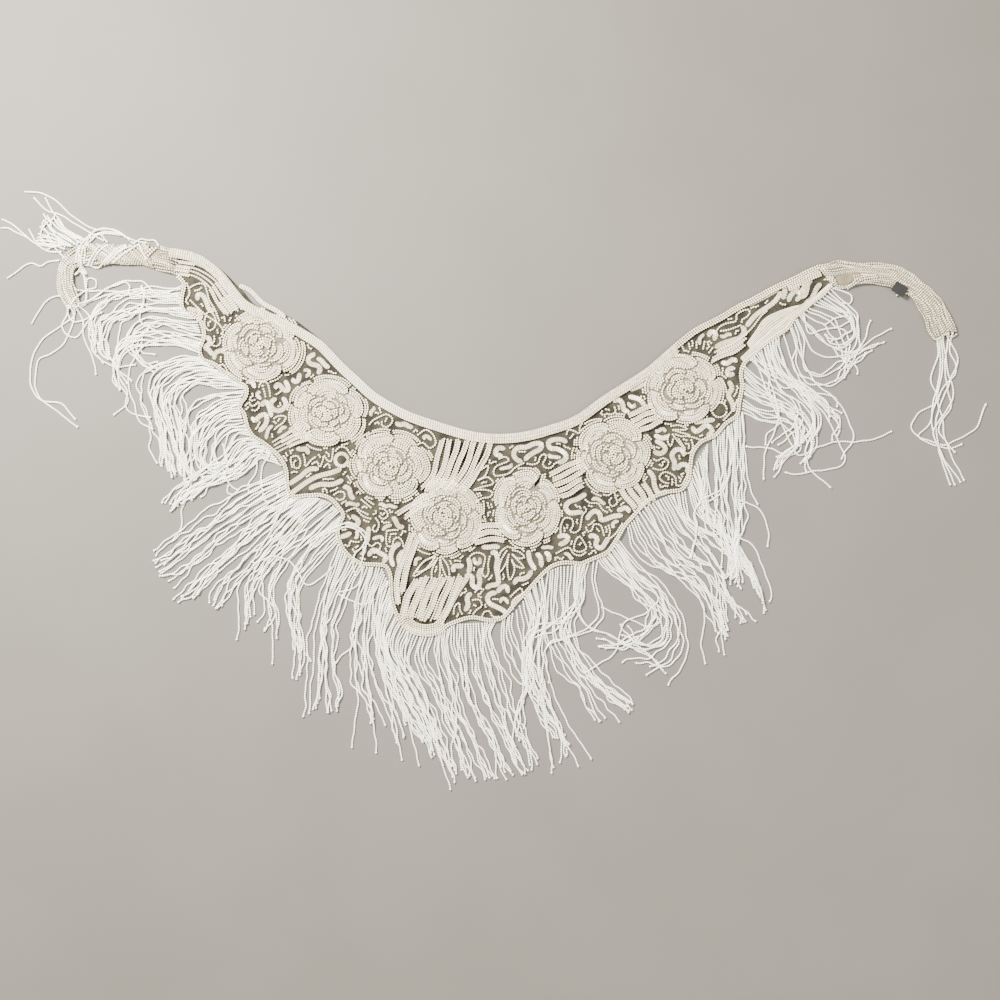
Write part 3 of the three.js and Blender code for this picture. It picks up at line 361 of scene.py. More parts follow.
TASSEL_LEFT: tuple[Chart, ...] = (
    (-457, 203, -456, 194, -472, 180, -490, 167, -502, 150, -497, 102, -483, 92, -453, 68),
    (-460, 202, -457, 190, -463, 172, -469, 160, -483, 150, -497, 143, -499.5, 130, -492, 99, -472, 95,
     -455, 76),
    (-463, 203, -465, 192, -470, 182, -467, 172, -455, 168, -446, 178, -436, 190, -425, 196),
    (-455, 202, -448, 186, -447, 170, -436, 145, -433, 126),
    (-452, 203, -440, 190, -436, 175, -437, 155, -415, 137, -389, 137),
    (-461, 203, -464, 194, -457, 184, -450, 186, -428, 197),
)
TASSEL_RIGHT: tuple[Chart, ...] = (
    (491, 167, 493, 152, 485, 118, 493, 102, 468.5, 81, 464, 68, 472, 58, 488, 53, 500, 49, 510, 53, 535,
     70, 539.5, 82.5, 546, 96),
    (493, 167, 495, 145, 488, 95, 481, 70, 470, 60, 486, 50, 504, 46, 520, 52),
    (508, 173, 506, 150, 512, 138, 511, 128, 500, 115, 492, 100, 498, 80, 500, 56, 522, 9),
    (503, 172, 503, 160, 500, 140, 504, 110, 507, 92, 498, 80, 493, 66, 502, 52, 512, 40),
    (500, 172, 514, 142, 506, 120, 490, 74, 506, 4),
    (495, 168, 498, 146, 490, 98, 484, 78, 490, 56, 512, 4),
    (497, 169, 504, 128, 510, 106, 500, 84, 486, 64, 494, 44, 518, 8),
)
WRAPPED: tuple[Chart, ...] = (
    (-512, 328, -493, 326, -480, 320, -460, 302, -430, 286, -414, 285, -400, 277),
    (-502, 322, -485, 306, -475, 303.5, -455, 292, -424, 274),
    (-489, 322, -480, 305, -474, 298, -465, 285, -450, 275, -440, 268),
    (-537, 298, -528, 294, -503, 273, -487, 262.5, -470, 262),
    (-538, 288, -530, 288, -522, 283.5, -510, 278, -500, 271, -484, 268, -470, 266),
    (-507, 287, -503, 280, -499, 273, -488, 270, -472, 268), (-497, 275, -478, 272, -466, 268),
    (-497, 282, -476, 275, -464, 268), (-495, 290, -486, 283, -474, 277, -460, 268),
    (-491, 297, -483, 288, -456, 270), (-487, 302, -480, 293, -450, 271), (-485, 292, -478, 284, -452, 268),
    (-480, 300, -472, 288, -446, 270), (-476, 294, -468, 286, -442, 272), (-490, 280, -474, 262, -466, 254),
    (-498, 270, -488, 264, -478, 268, -466, 264),
    (-531, 232.5, -520, 240, -503, 249, -494, 246, -487, 250, -472, 253),
    (-504, 182.5, -494, 200, -489, 207, -480, 212, -472, 213),
    (-454, 280, -444, 276, -440, 281, -415, 286, -390, 270),
    (-450, 274, -438, 277, -428, 281, -400, 278, -390, 274, -376, 272),
    (-444, 268, -436, 276, -430, 281, -420, 271), (-391, 271, -384, 276, -376, 275, -369, 275, -363, 267),
    (-443, 237, -451, 256, -448, 268, -441, 278), (-456, 236, -449, 243, -453, 252, -452, 262, -445, 275),
    (-449, 245, -446, 235, -445, 225, -443, 216, -444, 205),
    (-443.5, 228, -443, 231.5, -433.5, 231, -434, 222.5, -440, 221, -447, 218, -461.5, 199),
    (-450, 241, -444, 231.5, -444, 221, -444, 205),
    (-491, 304, -488, 299, -483, 296, -482, 290, -476, 278, -467, 270),
    (-487, 297, -491, 295, -492, 291, -486, 282, -483, 276, -475, 268),
    (-477, 303, -480, 298, -487, 294, -494, 278, -467, 271), (-485, 290, -482, 285, -467, 279, -455, 270),
    (-498, 277, -491, 277.5, -461, 268), (-499, 273, -495, 274, -483, 267, -467, 269, -458, 267),
    (-476, 298, -470, 291, -446, 274), (-479, 299, -472, 289, -455, 276, -451, 270),
    (-447, 257, -445, 266, -433, 285, -411, 285, -404, 280), (-437.5, 280, -420, 284, -402, 279, -395, 274),
    (-445, 268, -448, 251, -448, 243, -443, 236), (-452, 264, -447, 249, -455, 236),
    (-443.5, 266, -443.5, 257, -445, 248), (-441, 246, -438, 253, -428, 268),
    (-437.5, 246.5, -424.5, 265, -418.5, 269),
    (-444, 247, -438, 246.5, -433, 244, -422, 251, -407, 265, -398, 268.5),
    (-424, 247, -408, 261, -397, 267), (-420, 248, -401, 264, -391, 268), (-413, 249, -403, 257, -385, 269),
    (-385, 270, -381, 262, -376, 251),
)
STRAP_BEAD_ROWS: tuple[Chart, ...] = (
    (-379, 263.5, -376, 265.5, -372.5, 267.5), (-378, 258, -374.5, 261, -368, 267),
    (-375, 255.5, -372, 259, -365, 266),
)
STRAP_FOLD_ROWS: tuple[Chart, ...] = (
    (378, 222, 392, 222.5, 404, 232, 425, 236), (392, 220.5, 399, 225, 405, 229.5, 426, 233.5),
    (445.5, 213.5, 455, 216, 463, 214), (488.5, 164.5, 493, 166.5, 500.5, 171, 507.5, 168, 514, 172.5),
)


@dataclass(frozen=True)
class Rose:
    """Place of a rose on the net and the turn of its petals."""

    x: float
    y: float
    half_width: float
    half_height: float
    turn: float


ROSES = (
    Rose(-252, 158, 42, 39, 0.2),
    Rose(-178, 85, 40, 35, 0.9),
    Rose(-110, 26, 41, 36, 0.5),
    Rose(-50, -30, 39, 41, 1.2),
    Rose(40, -20, 36, 41, 0.0),
    Rose(135, 38, 41, 39, 0.7),
    Rose(212, 110, 41, 37, 0.3),
)


@dataclass(frozen=True)
class Bundle:
    """Parallel sequin ribbons between two rails, with bead rows between them."""

    ribbons: int
    left: Chart
    right: Chart


STEM_BUNDLES = (
    Bundle(7, (-57, 57, -61, 38, -66, 18, -78, 2), (6, 53, -2, 34, -15, 12, -27, -2)),
    Bundle(6, (-84, -96, -92, -112, -99, -130, -100, -140), (-28, -95, -34, -112, -42, -130, -50, -146)),
    Bundle(5, (64, 20, 82, 29, 100, 37), (78, -12, 90, -6, 104, 3)),
    Bundle(4, (150, 84, 164, 91, 176, 95), (166, 62, 180, 68, 192, 74)),
    Bundle(3, (-14, -40, 0, -34, 12, -36), (-20, -62, 0, -58, 18, -60)),
    Bundle(4, (-243, 52, -229, 62, -214, 72), (-233, 40, -214, 49, -194, 56)),
)
LOOSE_BUNDLES = (
    Bundle(2, (-89, -44, -98, -72, -106, -104, -103, -134), (-77, -55, -86, -82, -95, -106)),
    Bundle(2, (-62, -2, -78, -9, -94, -17, -106, -25), (-58, -14, -76, -22, -90, -32)),
    Bundle(4, (140, 0, 148, -12, 158, -24), (172, 10, 178, 0, 184, -12)),
    Bundle(4, (-345, 254, -322, 250, -300, 237, -284, 219, -268, 200),
           (-342, 236, -322, 231, -308, 220, -300, 204, -292, 192)),
    Bundle(2, (248, 152, 256, 157, 268, 161.5, 275, 166.5, 281.5, 172),
           (242.5, 139, 250.5, 142.5, 258, 146, 266, 148.5, 271.5, 151.5, 278, 156.5)),
)


@dataclass(frozen=True)
class Fold:
    """Net folded over into a smooth flap between two rails, with fine lines along it."""

    left: Chart
    right: Chart
    rise: float
    lines: int


FOLDS = (
    Fold((282, 161, 291, 174, 301, 188, 314, 195, 328, 200, 340, 203),
         (286, 155, 298.5, 166, 310, 176, 321, 185, 332, 195, 341, 201),
         1.0, 6),
    Fold((275, 145, 287, 156.5, 298.5, 167, 310, 177.5, 321, 186.5, 332, 197, 341, 203, 354.5, 211, 366,
          221, 373, 227),
         (279, 140, 291, 149.5, 298.5, 156, 310, 166, 317.5, 170.5, 328, 177, 334, 185, 340, 193, 347,
          198.5, 355, 205, 364, 213, 371, 220, 376, 225),
         1.8, 5),
)

RIBBON_SQUIGGLES: tuple[Chart, ...] = (
    (-24, -95, -33, -108, -50, -140), (-24, -74, -22, -84, -24, -92),
    (-94, -149, -82, -155, -68, -157, -54, -153), (-60, -96, -66, -112, -76, -132),
    (275.5, 179.5, 279, 176, 274, 167, 267, 164.5, 252.5, 159.5, 247, 156),
    (281, 179, 289, 189, 317, 212, 320, 218), (283, 203, 303, 213, 318, 221.5),
    (321.5, 226, 324, 221, 324, 215.5, 321, 209), (328, 228, 332, 223.5, 333, 217, 329, 212, 327, 206),
    (339, 230, 339, 224.5, 336, 219, 339, 216, 344.5, 221, 346, 227),
    (353.5, 231, 349, 225.5, 344.5, 213, 339, 211, 335.5, 207),
    (363.5, 227, 359, 222, 351.5, 209, 346, 206), (-221, 6, -209, 14, -197, 23, -188, 23),
    (-219, -4, -189, 15, -174, 19, -163, 23), (-199, 1, -187, 6, -174, 6, -161, 11),
    (17, 45, 9, 46, 6, 40, 14, 37),
    (36, 31, 30, 33, 26, 40, 30, 46, 40, 47, 50, 51, 57, 50, 56, 46, 48, 41, 40, 35, 38, 32),
    (85, 52, 80, 55, 64, 51, 66, 46, 74, 45, 84, 36, 81, 32, 74, 30),
    (1, -71, 5, -68, 8, -74, 7, -86, 9, -96, 9, -103, 1, -105, -5, -108),
    (-28, -94, -20, -95, -19, -105, -14, -108, -11, -101, -12, -92, -9, -86),
    (-20, -113, -25, -118, -24, -127, -28, -133),
    (8, -113, 1, -114, -3, -119, -1, -124, 6, -128, 14, -132, 20, -137),
    (8, -113, 13, -107, 18, -106, 20, -113), (26, -104, 30, -98, 36, -98, 42, -95, 46, -88),
    (106, -4, 96, -10, 86, -14, 83, -19, 87, -25, 95, -25, 102, -24),
    (106, -33, 110, -27, 116, -23, 121, -27, 122, -33, 128, -32, 136, -29, 146, -28),
    (108, -52, 113, -50, 118, -54, 116, -60, 120, -64, 131, -52),
    (74, -52, 80, -50, 86, -52, 82, -58, 75, -60), (60, -68, 65, -72, 64, -79), (42, -66, 44, -78, 50, -88),
    (173, 22, 179, 15, 181, 4, 186, -4, 196, -1), (202, 21, 203, 30, 200, 38, 204, 44, 212, 43, 213, 37),
    (205, 22, 211, 28, 218, 26, 217, 20, 222, 19), (181, 54, 188, 51, 193, 45, 188, 40, 179, 42),
    (180, 60, 192, 57, 196, 60), (222, 70, 226, 64, 232, 67, 237, 71, 243, 68, 244, 63, 238, 60),
    (224, 74, 236, 76, 247, 77), (262, 120, 266, 112, 262, 104, 266, 96, 268, 86),
    (246, 122, 253, 114, 251, 105, 244, 103), (172, 118, 162, 113, 153, 110), (152, 103, 166, 98, 170, 92),
    (135, 97, 142, 99, 146, 94, 147, 88, 153, 86), (240, 168, 243, 174, 248, 172, 246, 164),
    (-321, 208, -321, 215, -316, 214, -311, 205, -307, 197, -302, 199),
    (-333, 200, -327, 198, -320, 196, -318, 190, -322, 186),
    (-316, 167, -309, 167, -308, 161, -313, 157, -308, 153, -306, 148),
    (-303, 143, -302, 150, -296, 153, -290, 151, -289, 144),
    (-276, 225, -265, 220, -250, 205.5, -233, 196, -225, 190), (-268, 118, -262, 119, -258, 112),
    (-228, 102, -224, 95, -227, 89, -234, 87, -240, 91, -239, 98, -234, 100),
    (-252, 92, -246, 97, -243, 92, -240, 80),
    (-262, 80, -258, 76, -253, 81, -247, 83, -245, 77, -248, 70, -254, 64),
    (-133, -40, -134, -48, -135, -58), (-98, -58, -106, -64, -109, -74, -106, -84),
    (-94, -66, -100, -74, -98, -84), (-165, -52, -158, -50, -152, -47),
    (-134, -73, -128, -66, -120, -70, -114, -74, -118, -80),
)
BEAD_SQUIGGLES: tuple[Chart, ...] = (
    (-16, -18, -15, -30, -14, -44), (-11, -20, -10, -32, -10, -46), (214, 152, 210, 160),
    (220, 154, 218, 163), (227, 155, 227, 165), (234, 154, 236, 164), (240, 150, 246, 158),
    (40, 29, 48, 28, 53, 30, 55, 36, 58, 39, 61, 39, 61, 34, 58, 29, 60, 25, 68, 25, 71, 29, 78, 31),
    (9, 34, 18, 36, 21, 33, 14, 29, 7, 26, 4, 21, 5, 16, 12, 16, 22, 19, 27, 24, 38, 30),
    (27, 15, 22, 13, 17, 12, 12, 8), (84, 60, 86, 66, 92, 65, 98, 62, 99, 70, 103, 75),
    (-10, 22, -2, 27, -6, 15, -14, 10, -2, 14, 4, 8, -10, 3, -18, 0, -4, 0, 3, -3, 1, -7, -8, -9, -16, -13),
    (-24, -90, -20, -71, -12, -69, -6, -72, -7, -84, -8, -93, -5, -96, -2, -92, -2, -82, 0, -72),
    (-40, -137, -38, -127, -34, -124, -33, -132, -30, -137), (-17, -113, -11, -108, -6, -110),
    (-20, -121, -11, -121, -9, -127, -15, -132, -19, -137),
    (-9, -140, -6, -134, -1, -133, 3, -139, 12, -139), (38, -112, 24, -125, 26, -132),
    (22, -118, 28, -112, 34, -108, 36, -112, 28, -119, 24, -124),
    (19, -66, 12, -78, 10, -91, 17, -82, 21, -70), (21, -70, 19, -84, 22, -99, 27, -88, 24, -76),
    (24, -70, 37, -86, 28, -83, 23, -76), (24, -66, 32, -68, 38, -74, 30, -75, 24, -70),
    (18, -62, 26, -64, 34, -64, 38, -68), (18, -63, 12, -68, 10, -74),
    (-60, -72, -74, -80, -84, -95, -72, -88, -60, -74), (-59, -73, -72, -78, -80, -90, -68, -86, -58, -76),
    (-57, -74, -64, -90, -60, -110, -55, -92, -55, -76),
    (-55, -73, -52, -86, -45, -100, -46, -84, -54, -72),
    (80, -52, 78, -48, 79, -36, 82, -31, 90, -32, 91, -40, 88, -45, 92, -47, 98, -44, 100, -36, 102, -27,
     106, -22, 103, -18),
    (104, -10, 109, -14, 119, -15, 124, -22, 130, -25),
    (105, -40, 108, -46, 112, -44, 114, -38, 120, -38, 126, -52),
    (130, -38, 132, -46, 130, -54, 136, -50, 146, -36),
    (92, -66, 94, -56, 98, -51, 103, -57, 106, -64, 98, -68, 92, -66),
    (72, -70, 88, -64, 92, -70, 100, -72, 106, -68),
    (124, -5, 130, -6, 136, -2, 138, -8, 140, -14, 134, -18, 131, -12, 134, -8),
    (197, 7, 190, 9, 186, 14, 190, 19, 204, 13, 205, 5, 210, 5, 214, 11, 218, 19),
    (178, 24, 186, 22, 193, 24, 196, 31, 190, 35, 183, 32, 178, 35), (198, 70, 208, 71, 217, 67, 200, 66),
    (200, 66, 210, 63, 220, 60, 210, 59, 202, 62), (200, 62, 206, 54, 215, 44, 206, 58),
    (197, 62, 195, 54, 198, 48, 202, 58), (218, 59, 226, 57, 232, 55, 240, 59, 246, 63),
    (221, 56, 223, 48, 221, 42, 216, 40, 212, 42), (272, 100, 268, 90, 256, 76),
    (127, 84, 134, 83, 138, 86, 136, 93),
    (240, 172, 247, 173, 252, 179, 264, 184, 269.5, 185, 271, 188.5, 270.5, 191.5, 274, 195, 279.5, 197.5,
     284, 198, 285.5, 195, 283, 191, 276, 185, 278, 182.5),
    (252.5, 174.5, 258, 175, 276, 181),
    (248, 152, 256, 157, 268, 161.5, 287.5, 178, 298.5, 192, 305, 197.5),
    (-330, 222, -322, 226, -314, 226, -311, 219, -308, 208, -303, 200, -297, 185),
    (-333, 228, -330, 215, -334, 207, -330, 203),
    (-312, 193, -308, 196, -303, 192, -304, 177, -308, 175, -313, 180, -312, 193),
    (-330, 209, -312, 192, -296, 180, -293, 174, -297, 170),
    (-303, 170, -303, 163, -306, 160, -300, 158, -296, 162, -297, 168), (-300, 135, -294, 138, -287, 128),
    (-254, 112, -251, 118, -245, 118, -242, 110, -241, 101), (-249, 112, -247, 106, -246, 100),
    (-269, 92, -264, 96, -262, 92, -258, 93, -254, 97, -254, 90, -258, 87, -262, 88),
    (-238, 78, -233, 81, -224, 80, -227, 74, -233, 70, -238, 65),
    (-217, 24, -218, 36, -211, 37, -208, 31, -210, 24, -214, 24, -214, 32, -211, 32),
    (-205, 40, -203, 32, -203, 26, -195, 34, -190, 37),
    (-196, 28, -190, 31, -187, 25, -184, 31, -182, 38, -179, 33, -175, 31, -173, 38, -172, 46),
    (-170, 42, -165, 47, -158, 46, -154, 40, -151, 36),
    (-172, -6, -166, -2, -160, -3, -160, -9, -166, -11, -170, -8),
    (-133, 71, -129, 76, -122, 80, -113, 83, -107, 78, -110, 71, -115, 69, -119, 72, -118, 77),
    (-158, -24, -148, -20, -140, -24, -132, -28), (-146, -22, -139, -29, -130, -32),
    (-138, -8, -132, -13, -126, -17), (-142, -10, -136, -15, -130, -20),
    (-126, -30, -122, -37, -126, -46, -129, -44, -126, -38),
    (-122, -20, -115, -22, -112, -28, -118, -32, -122, -28), (-113, -45, -106, -44, -100, -44),
    (-113, -44, -114, -54, -112, -62, -108, -62, -105, -54, -101, -52, -96, -57, -95, -64),
    (-160, -60, -155, -62, -153, -56, -149, -57, -143, -57), (-151, -64, -149, -68, -144, -66),
    (-135, -58, -130, -62, -124, -58, -120, -60, -122, -66, -128, -70),
    (-80, 60, -70, 66, -62, 60, -60, 50, -66, 46, -74, 52, -82, 48),
)
# Middle, radius and kind of each stitched ring
RINGS = ((252, 88, 8.2, RowKind.BEADS), (-163, 33, 7.0, RowKind.SLIM_SEQUINS))

LEFT_STRAP_OUTER: Chart = (
    -345, 265.5, -363, 269, -380, 271, -400, 270, -420, 270, -440, 271, -455, 268, -464, 261, -470, 254,
    -474, 242, -476, 231, -475, 218, -472, 211, -465, 199,
)
LEFT_STRAP_INNER: Chart = (
    -343, 234, -350, 237, -360, 240, -370, 243, -378, 246, -400, 247, -415, 248, -430, 244, -445, 246, -455,
    244, -457, 230, -454, 218, -450, 207, -449, 201,
)
RIGHT_STRAP_OUTER: Chart = (
    358, 247, 370, 249, 382, 252, 395, 250, 410, 249, 430, 249, 445, 247, 455, 242, 465, 236, 475, 228, 485,
    220, 492, 213, 498, 207, 503, 195, 508, 185, 513, 174,
)
RIGHT_STRAP_INNER: Chart = (
    377, 224, 387, 221, 402, 225, 410, 226, 430, 225, 440, 223, 450, 217, 458, 214, 465, 208, 470, 200, 475,
    192, 478, 185, 480, 175, 487, 164,
)


def srgb(red: int, green: int, blue: int) -> tuple[float, float, float, float]:
    """Turn an eight-bit screen colour into a scene colour.

    Args:
        red: Red from 0 to 255.
        green: Green from 0 to 255.
        blue: Blue from 0 to 255.

    Returns:
        The linear colour with full alpha.
    """
    shares = [value / 255 for value in (red, green, blue)]
    linear = [s / 12.92 if s <= 0.04045 else ((s + 0.055) / 1.055) ** 2.4 for s in shares]
    return (linear[0], linear[1], linear[2], 1.0)


class Value:
    """A varying value in a finish, with arithmetic that adds the matching Math nodes."""

    def __init__(self, finish: "FinishTree", socket: bpy.types.NodeSocket) -> None:
        """Keep the tree and the socket that gives the value."""
        self.finish = finish
        self.socket = socket

    def maths(self, operation: str, *values: "Value | float") -> "Value":
        """Add one Math node with these inputs and give its result."""
        return self.finish.add("ShaderNodeMath", {"operation": operation}, dict(enumerate(values)))

    def __add__(self, other: "Value | float") -> "Value":
        """Add."""
        return self.maths("ADD", self, other)

    def __radd__(self, other: float) -> "Value":
        """Add to a number."""
        return self.maths("ADD", other, self)

    def __sub__(self, other: "Value | float") -> "Value":
        """Subtract."""
        return self.maths("SUBTRACT", self, other)

    def __rsub__(self, other: float) -> "Value":
        """Subtract from a number."""
        return self.maths("SUBTRACT", other, self)

    def __mul__(self, other: "Value | float") -> "Value":
        """Multiply."""
        return self.maths("MULTIPLY", self, other)

    def __rmul__(self, other: float) -> "Value":
        """Multiply a number."""
        return self.maths("MULTIPLY", other, self)

    def fade(self, low: float, high: float, start: float = 0.0, end: float = 1.0) -> "Value":
        """Map the value smoothly, so that low gives start and high gives end."""
        return self.finish.add("ShaderNodeMapRange", {"interpolation_type": "SMOOTHSTEP"}, {
            0: self, 1: low, 2: high, 3: start, 4: end,
        })


class FinishTree:
    """The shader nodes of one finish."""

    def __init__(self, name: str) -> None:
        """Start an empty tree.

        Args:
            name: Name of the material.
        """
        self.material = bpy.data.materials.new(name)
        self.material.use_nodes = True
        self.tree = self.material.node_tree
        self.tree.nodes.clear()

    def add(self, kind: str, settings: dict | None = None, sockets: dict | None = None,
            result: int | str = 0) -> Value:
        """Add one node.

        Args:
            kind: Type of the node.
            settings: Its settings, which are made first.
            sockets: Values or links for its inputs, by name or number.
            result: Name or number of the output that is wanted.

        Returns:
            That output.
        """
        node = self.tree.nodes.new(kind)
        for name, value in (settings or {}).items():
            setattr(node, name, value)
        for name, value in (sockets or {}).items():
            if isinstance(value, Value):
                self.tree.links.new(value.socket, node.inputs[name])
            else:
                node.inputs[name].default_value = value
        return Value(self, node.outputs[result])

    def place(self) -> Value:
        """Give the place on the piece, in metres."""
        return self.add("ShaderNodeTexCoord", result="Object")

    def noise(self, size: float, detail: float = 2.0) -> Value:
        """Add noise from 0 to 1 on the piece, with patches of a size in millimetres."""
        return self.add("ShaderNodeTexNoise", None, {
            "Vector": self.place(), "Scale": 1 / (size * MM), "Detail": detail,
        })

    def painted_light(self) -> Value:
        """Give the painted light at the place, from 0 for painted shade in a seam between beads to 1."""
        return self.add("ShaderNodeAttribute", {"attribute_name": PAINTED_LIGHT}, None, "Fac")

    def mix(self, first: "Value | tuple", second: "Value | tuple", share: "Value | float") -> Value:
        """Mix two colours, where share says how much of the second there is."""
        return self.add("ShaderNodeMix", {"data_type": "RGBA"}, {0: share, 6: first, 7: second}, 2)

    def stained(self, tone: Value, stain: tuple, size: float, start: float, full: float,
                share: float) -> Value:
        """Lay patches of a stain over a tone, where noise of their size goes from start to full."""
        return self.mix(tone, stain, self.noise(size).fade(start, full) * share)

    def with_seam_shade(self, seam_shade: tuple, tone: Value) -> Value:
        """Paint shade into a tone in the seams between beads, by the painted light."""
        return self.mix(seam_shade, tone, self.painted_light().fade(0.0, 0.8))

    def bump(self, height: Value, strength: float, depth: float) -> Value:
        """Give the normal of a bump whose depth is in millimetres."""
        return self.add("ShaderNodeBump", None, {
            "Height": height, "Strength": strength, "Distance": depth * MM,
        })

    def surface(self, **sockets: "Value | float | tuple") -> bpy.types.Material:
        """End the tree with a Principled surface.

        Args:
            sockets: Its inputs, with underscores for the spaces in their names.

        Returns:
            The finished material.
        """
        named = {name.replace("_", " "): value for name, value in sockets.items()}
        shader = self.add("ShaderNodeBsdfPrincipled", None, named)
        output = self.tree.nodes.new("ShaderNodeOutputMaterial")
        self.tree.links.new(shader.socket, output.inputs["Surface"])
        return self.material


@dataclass(frozen=True)
class BeadFinish:
    """Glossy glass beads, each a little lighter or darker, on a slowly changing tone.

    The wear is how much of the aged tone shows, and the drift is that of pink and green.
    """

    name: str
    light: tuple = srgb(252, 242, 219)
    dark: tuple = srgb(214, 201, 172)
    aged: tuple = srgb(226, 211, 178)
    # Colour of the painted shade in the seams between beads
    seam_shade: tuple = srgb(104, 95, 77)
    pink: tuple = srgb(236, 221, 206)
    green: tuple = srgb(208, 212, 190)
    wear: float = 0.35
    drift: float = 0.4
    roughness: float = 0.36
    coat: float = 0.25
    bead: float = 1.6

    def build(self) -> bpy.types.Material:
        """Mix the finish.

        Returns:
            The material.
        """
        tree = FinishTree(self.name)
        tone = tree.mix(self.dark, self.light, tree.noise(self.bead, 1.0).fade(0.35, 0.65))
        tone = tree.stained(tone, self.aged, size=45.0, start=0.42, full=0.7, share=self.wear)
        tone = tree.stained(tone, self.pink, size=31.0, start=0.52, full=0.68, share=self.drift)
        tone = tree.stained(tone, self.green, size=37.0, start=0.5, full=0.66, share=self.drift)
        # Painted shade in the seams between beads
        tone = tree.with_seam_shade(self.seam_shade, tone)
        return tree.surface(
            Base_Color=tone,
            Roughness=self.roughness + 0.12 * tree.noise(3.0),
            Coat_Weight=self.coat,
            Coat_Roughness=0.2,
            Normal=tree.bump(tree.noise(1.1, 1.0), 0.35, 0.25),
        )


@dataclass(frozen=True)
class SequinFinish:
    """Pearly sequins with faint pink, blue and green patches."""

    name: str = "pearly_sequins"
    base: tuple = srgb(210, 200, 178)
    shade: tuple = srgb(172, 162, 141)
    # Colour of the painted shade in the tucks and at the edges of the sequins
    seam_shade: tuple = srgb(88, 82, 66)
    pink: tuple = srgb(208, 188, 176)
    blue: tuple = srgb(186, 189, 197)
    green: tuple = srgb(188, 196, 176)
    sequin: float = 2.6

    def build(self) -> bpy.types.Material:
        """Mix the finish.

        Returns:
            The material.
        """
        tree = FinishTree(self.name)
        each = tree.noise(self.sequin, 1.0).fade(0.36, 0.64)
        tone = tree.mix(self.shade, self.base, each)
        tone = tree.stained(tone, self.pink, size=26.0, start=0.5, full=0.62, share=0.45)
        tone = tree.stained(tone, self.blue, size=19.0, start=0.58, full=0.7, share=0.5)
        tone = tree.stained(tone, self.green, size=33.0, start=0.54, full=0.68, share=0.45)
        # Painted shade in the tucks and at the edges of the sequins
        tone = tree.with_seam_shade(self.seam_shade, tone)
        return tree.surface(
            Base_Color=tone,
            Roughness=0.34 + 0.2 * each,
            Coat_Weight=0.25,
            Coat_Roughness=0.2,
            Normal=tree.bump(tree.noise(2.0, 1.0), 0.3, 0.3),
        )


@dataclass(frozen=True)
class NetFinish:
    """Sheer net: fine crossing threads with open holes between them.

    The hole and the stray are in millimetres, and the line is a thread's half width as a share of a hole.
    """

    name: str = "sheer_net"
    thread: tuple = srgb(58, 55, 46)
    deep: tuple = srgb(34, 32, 27)
    hole: float = 1.3
    line: float = 0.30
    turn: float = 0.6
    stray: float = 1.6
    stray_size: float = 9.0
    veil: float = 0.56
    cover: float = 0.4

    def build(self) -> bpy.types.Material:
        """Mix the finish.

        Returns:
            The material.
        """
        tree = FinishTree(self.name)
        place = tree.place()
        wander = tree.add("ShaderNodeTexNoise", None, {
            "Vector": place, "Scale": 1 / (self.stray_size * MM), "Detail": 1.0,
        }, "Color")
        bent = tree.add("ShaderNodeVectorMath", {"operation": "MULTIPLY_ADD"}, {
            0: wander, 1: (self.stray * MM, self.stray * MM, 0.0), 2: place,
        })
        turned = tree.add("ShaderNodeMapping", None, {
            "Vector": bent, "Rotation": (0.0, 0.0, self.turn), "Scale": (1 / (self.hole * MM),) * 3,
        })
        parts = tree.add("ShaderNodeSeparateXYZ", None, {"Vector": turned}).socket.node
        across = Value(tree, parts.outputs[0])
        along = Value(tree, parts.outputs[1])
        falling = self._thread(across + 0.5 * along)
        rising = self._thread(across - 0.5 * along)
        threads = falling.maths("MAXIMUM", falling, rising)
        tone = tree.mix(self.deep, self.thread, tree.noise(14.0, 3.0).fade(0.35, 0.65))
        return tree.surface(
            Base_Color=tone,
            Roughness=0.8,
            Alpha=self.veil + self.cover * threads,
            Specular_IOR_Level=0.15,
            Normal=tree.bump(tree.noise(5.0, 3.0), 0.4, 1.2),
        )

    def _thread(self, lane: Value) -> Value:
        """Give 1 on a thread and 0 in the holes beside it, where a lane is one thread wide."""
        away = lane.maths("PINGPONG", lane, 0.5)
        return away.fade(self.line * 0.5, self.line, 1.0, 0.0)


@dataclass(frozen=True)
class ClothFinish:
    """Plain woven cloth under the beads, or the tape of the tab."""

    # Scale of a wave texture whose waves are one unit long
    WAVE_SCALE = 0.314

    name: str
    light: tuple = srgb(128, 118, 97)
    dark: tuple = srgb(98, 88, 70)
    thread: float = 0.7
    sheen: float = 0.2

    def build(self) -> bpy.types.Material:
        """Mix the finish.

        Returns:
            The material.
        """
        tree = FinishTree(self.name)
        weft, warp = (
            tree.add("ShaderNodeTexWave", {"bands_direction": way}, {
                "Vector": tree.place(), "Scale": self.WAVE_SCALE / (self.thread * MM), "Distortion": 0.6,
            }, 1)
            for way in "XY"
        )
        weave = weft * warp
        tone = tree.mix(self.dark, self.light, 0.35 * weave + 0.65 * tree.noise(7.0, 3.0).fade(0.3, 0.7))
        return tree.surface(
            Base_Color=tone,
            Roughness=0.86,
            Sheen_Weight=self.sheen,
            Sheen_Roughness=0.5,
            Normal=tree.bump(weave, 0.6, 0.3),
        )


